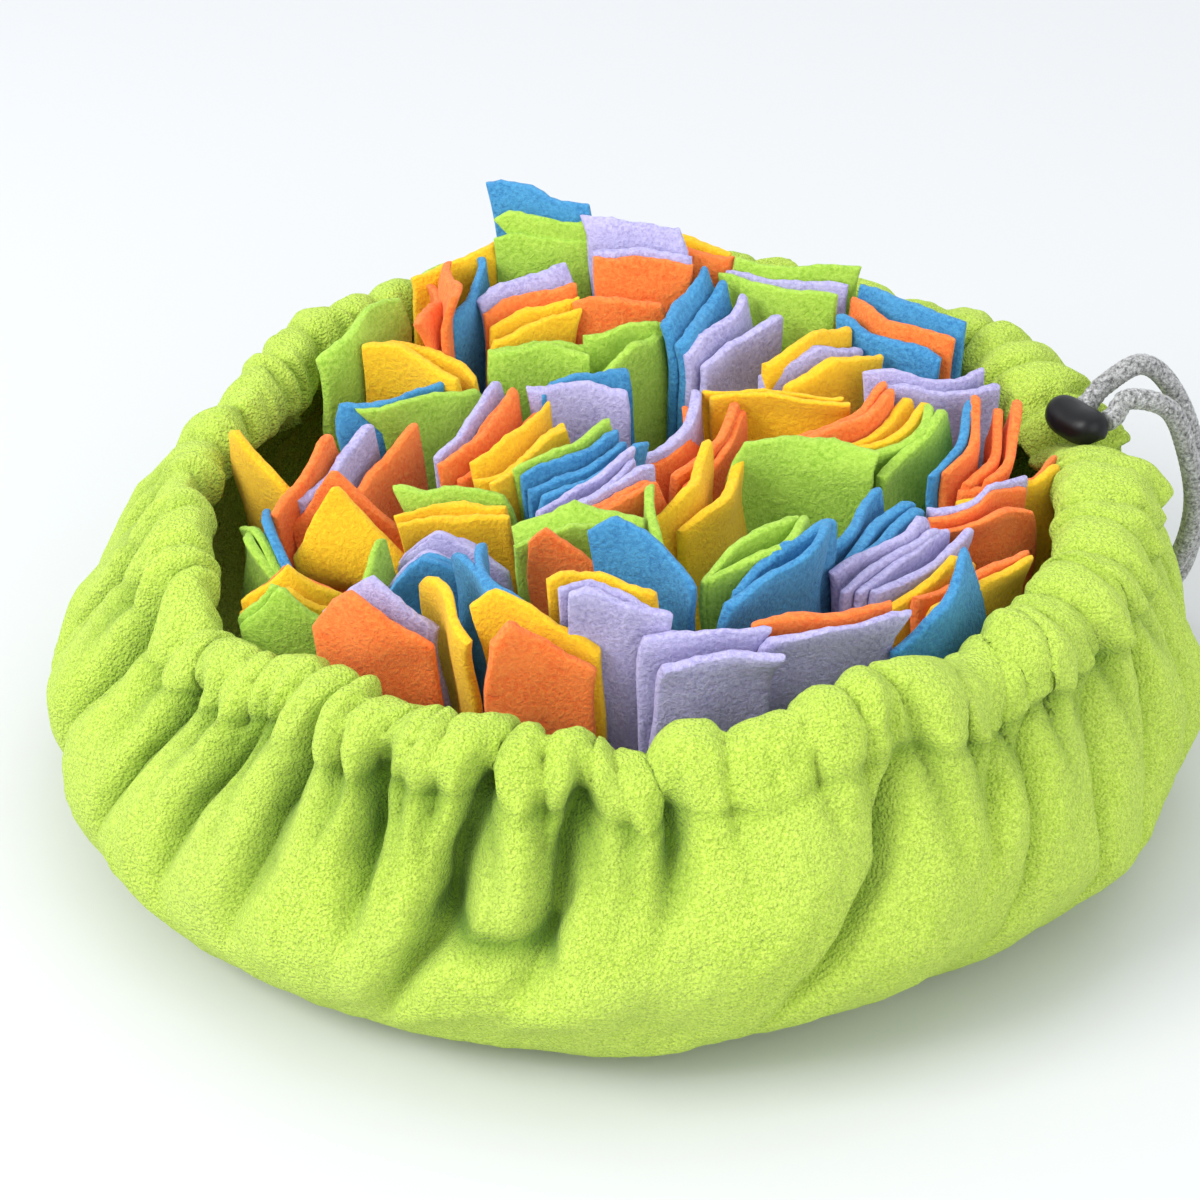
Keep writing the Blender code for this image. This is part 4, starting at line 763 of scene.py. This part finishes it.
def cord_surface(line, turns, sides):
    """A round tube along a line whose skin rises and falls with two crossing sets of strands.

    The radius at a place is the higher of two cosines, one for the strands that turn left on
    their way along and one for those that turn right."""
    way = np.gradient(line, axis=0)
    way /= np.linalg.norm(way, axis=1, keepdims=True)
    up = np.cross(way, (0.13, 0.21, 1.0))       # a direction that the cord never takes
    up /= np.linalg.norm(up, axis=1, keepdims=True)
    side = np.cross(way, up)
    angle = np.linspace(0.0, 2 * np.pi, sides, endpoint=False)[None, :]
    along = 2 * np.pi * turns * np.linspace(0.0, 1.0, len(line))[:, None]
    left = np.cos(BRAID_STRANDS / 2 * (angle - along))
    right = np.cos(BRAID_STRANDS / 2 * (angle + along))
    radius = CORD_DIAMETER / 2 - BRAID_RELIEF + BRAID_RELIEF * np.maximum(left, right)
    skin = up[:, None] * np.cos(angle)[..., None] + side[:, None] * np.sin(angle)[..., None]
    return line[:, None] + radius[..., None] * skin


smooth_route = through(CORD_ROUTE, np.linspace(0, len(CORD_ROUTE) - 1, ROUTE_STEPS))
cord_line, CORD_LENGTH = evenly(smooth_route, CORD_ROWS)
turns = CORD_LENGTH / BRAID_PITCH
cord_grid = cord_surface(cord_line, turns, CORD_SIDES)
cord_uv = np.stack(np.broadcast_arrays(
    np.linspace(0.0, turns, CORD_ROWS)[:, None],
    np.linspace(0.0, 1.0, CORD_SIDES, endpoint=False)[None, :]), -1).reshape(-1, 2)
cord_end = np.arange(CORD_SIDES)

melange, melange_shader = new_finish("grey_melange_braid", 0.85, Sheen_Weight=0.35,
                                     Sheen_Roughness=0.5)
spot = node(melange, "TexCoord", {}).outputs["Object"]
fibres = node(melange, "TexNoise", {"Vector": spot, "Scale": 900.0, "Detail": 3.0,
                                    "Roughness": 0.7})
flecks = node(melange, "ValToRGB", {"Fac": fibres.outputs["Fac"]})
stops = list(flecks.color_ramp.elements) + [flecks.color_ramp.elements.new(0.5)]
for stop, (place, grey) in zip(stops, ((0.34, 0.06), (0.66, 0.70), (0.5, 0.28))):
    stop.position = place
    stop.color = (grey, grey, grey * 0.98, 1.0)
melange.node_tree.links.new(flecks.outputs["Color"], melange_shader.inputs["Base Color"])
hairs = node(melange, "TexNoise", {"Vector": spot, "Scale": 1600.0, "Detail": 2.0})
nap = node(melange, "Bump", {"Height": hairs.outputs["Fac"], "Strength": 0.9, "Distance": 0.0006})
melange.node_tree.links.new(nap.outputs["Normal"], melange_shader.inputs["Normal"])

drawcord = put_piece(
    "braided_drawcord", cord_grid.reshape(-1, 3),
    [ring_faces(CORD_ROWS, CORD_SIDES)[:, ::-1], cord_end[None, :],
     (cord_end + CORD_SIDES * (CORD_ROWS - 1))[None, ::-1]],
    [melange], uv=cord_uv)
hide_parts("drawcord")
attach(drawcord, "root")

# ---------------------------------------------------------------- cord lock
# A moulded bean of black plastic with a hollowed back, which grips the cord's two ends. It lies
# in a dip of the casing, and both ends of the cord come out of its outer side.
LOCK_LENGTH, LOCK_DEPTH, LOCK_HEIGHT = 20.0, 12.0, 12.0
LOCK_LEVEL, LOCK_HEADING = 87.86, -55.0
LOCK_WAIST, LOCK_BELLY = 0.22, -0.72  # how far its top is hollowed, and its underside cut flat
LOCK_RINGS, LOCK_SIDES = 41, 56


def lock_surface(rings, sides):
    """The bean: round slices along its length, drawn in at both ends by a blunt power.

    The slices get lower towards the middle as a cosine squared, are flat below, and have a fine
    moulding seam as a bell round their middle height."""
    along = np.sin(np.linspace(-np.pi / 2, np.pi / 2, rings))[:, None]
    turn = np.linspace(0.0, 2 * np.pi, sides, endpoint=False)[None, :]
    size = 0.06 + 0.94 * np.sqrt(np.clip(1.0 - np.abs(along) ** 3.2, 0.0, 1.0))
    hollow = 1.0 - LOCK_WAIST * np.cos(along * np.pi / 2) ** 2
    up = np.where(np.sin(turn) > 0, np.sin(turn) * hollow, np.maximum(np.sin(turn), LOCK_BELLY))
    seam = 1.0 - 0.02 * bell(np.sin(turn) / 0.05)
    x, y, z = np.broadcast_arrays(along * LOCK_LENGTH / 2,
                                  np.cos(turn) * LOCK_DEPTH / 2 * size * seam,
                                  up * LOCK_HEIGHT / 2 * size)
    heading, place = math.radians(LOCK_HEADING), math.radians(LOCK_ANGLE)
    long_way = np.array((math.cos(heading), math.sin(heading)))
    short_way = np.array((-math.sin(heading), math.cos(heading)))
    middle = CASING_RADIUS * np.array((math.cos(place), math.sin(place)))
    flat = middle + x[..., None] * long_way + y[..., None] * short_way
    return np.concatenate((flat, LOCK_LEVEL + z[..., None]), -1)


plastic, plastic_shader = new_finish("black_plastic", 0.34, Specular_IOR_Level=0.25,
                                     Base_Color=(0.005, 0.005, 0.006, 1.0))
spot = node(plastic, "TexCoord", {}).outputs["Object"]
orange_peel = node(plastic, "TexNoise", {"Vector": spot, "Scale": 700.0, "Detail": 2.0})
scuffs = node(plastic, "TexNoise", {"Vector": spot, "Scale": 160.0, "Detail": 4.0})
gloss = node(plastic, "MapRange", {"Value": scuffs.outputs["Fac"], "To Min": 0.26, "To Max": 0.5})
plastic.node_tree.links.new(gloss.outputs["Result"], plastic_shader.inputs["Roughness"])
dimple = node(plastic, "Bump", {"Height": orange_peel.outputs["Fac"], "Strength": 0.15,
                                "Distance": 0.0002})
plastic.node_tree.links.new(dimple.outputs["Normal"], plastic_shader.inputs["Normal"])

lock_end = np.arange(LOCK_SIDES)
lock = put_piece("cord_lock_bean", lock_surface(LOCK_RINGS, LOCK_SIDES).reshape(-1, 3),
                 [ring_faces(LOCK_RINGS, LOCK_SIDES)[:, ::-1], lock_end[None, :],
                  (lock_end + LOCK_SIDES * (LOCK_RINGS - 1))[None, ::-1]], [plastic])
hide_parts("cord_lock")
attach(lock, "root")

# ---------------------------------------------------------------- floor and studio light
# A plain white table under a soft window light from the left, a weaker one from above and one
# from the front right, with pale light all round.
FLOOR_COLOUR = (0.595, 0.602, 0.606)
FLOOR_REACH, FLOOR_LEVEL = 6000.0, -0.6
LAMPS = (                        # name, place in metres, power in watts and width in metres
    ("window", (-1.25, -0.60, 1.10), 25.0, 0.9),
    ("ceiling", (0.4, 0.5, 1.6), 5.0, 1.6),
    ("room", (0.95, -1.55, 0.80), 13.0, 1.6))
LAMP_AIM = (0.0, 0.0, 0.04)
table_top, table_shader = new_finish("white_table", 0.75, Base_Color=(*FLOOR_COLOUR, 1.0))
corners = ((-1, -1), (1, -1), (1, 1), (-1, 1))
floor = put_piece("floor", [(FLOOR_REACH * x, FLOOR_REACH * y, FLOOR_LEVEL) for x, y in corners],
                  [np.array(((0, 1, 2, 3),))], [table_top])

world = bpy.data.worlds.new("studio")
world.use_nodes = True
world.node_tree.nodes["Background"].inputs["Color"].default_value = (0.93, 0.96, 1.0, 1.0)
world.node_tree.nodes["Background"].inputs["Strength"].default_value = 1.05
bpy.context.scene.world = world
for name, place, power, size in LAMPS:
    lamp = bpy.data.objects.new(name, bpy.data.lights.new(name, "AREA"))
    lamp.data.energy = power
    lamp.data.size = size
    lamp.location = place
    aim = np.array(LAMP_AIM) - np.array(place)
    lamp.rotation_euler = (math.atan2(math.hypot(aim[0], aim[1]), -aim[2]), 0.0,
                           math.atan2(aim[1], aim[0]) - math.pi / 2)
    bpy.context.collection.objects.link(lamp)
bpy.context.scene.view_settings.view_transform = "Standard"
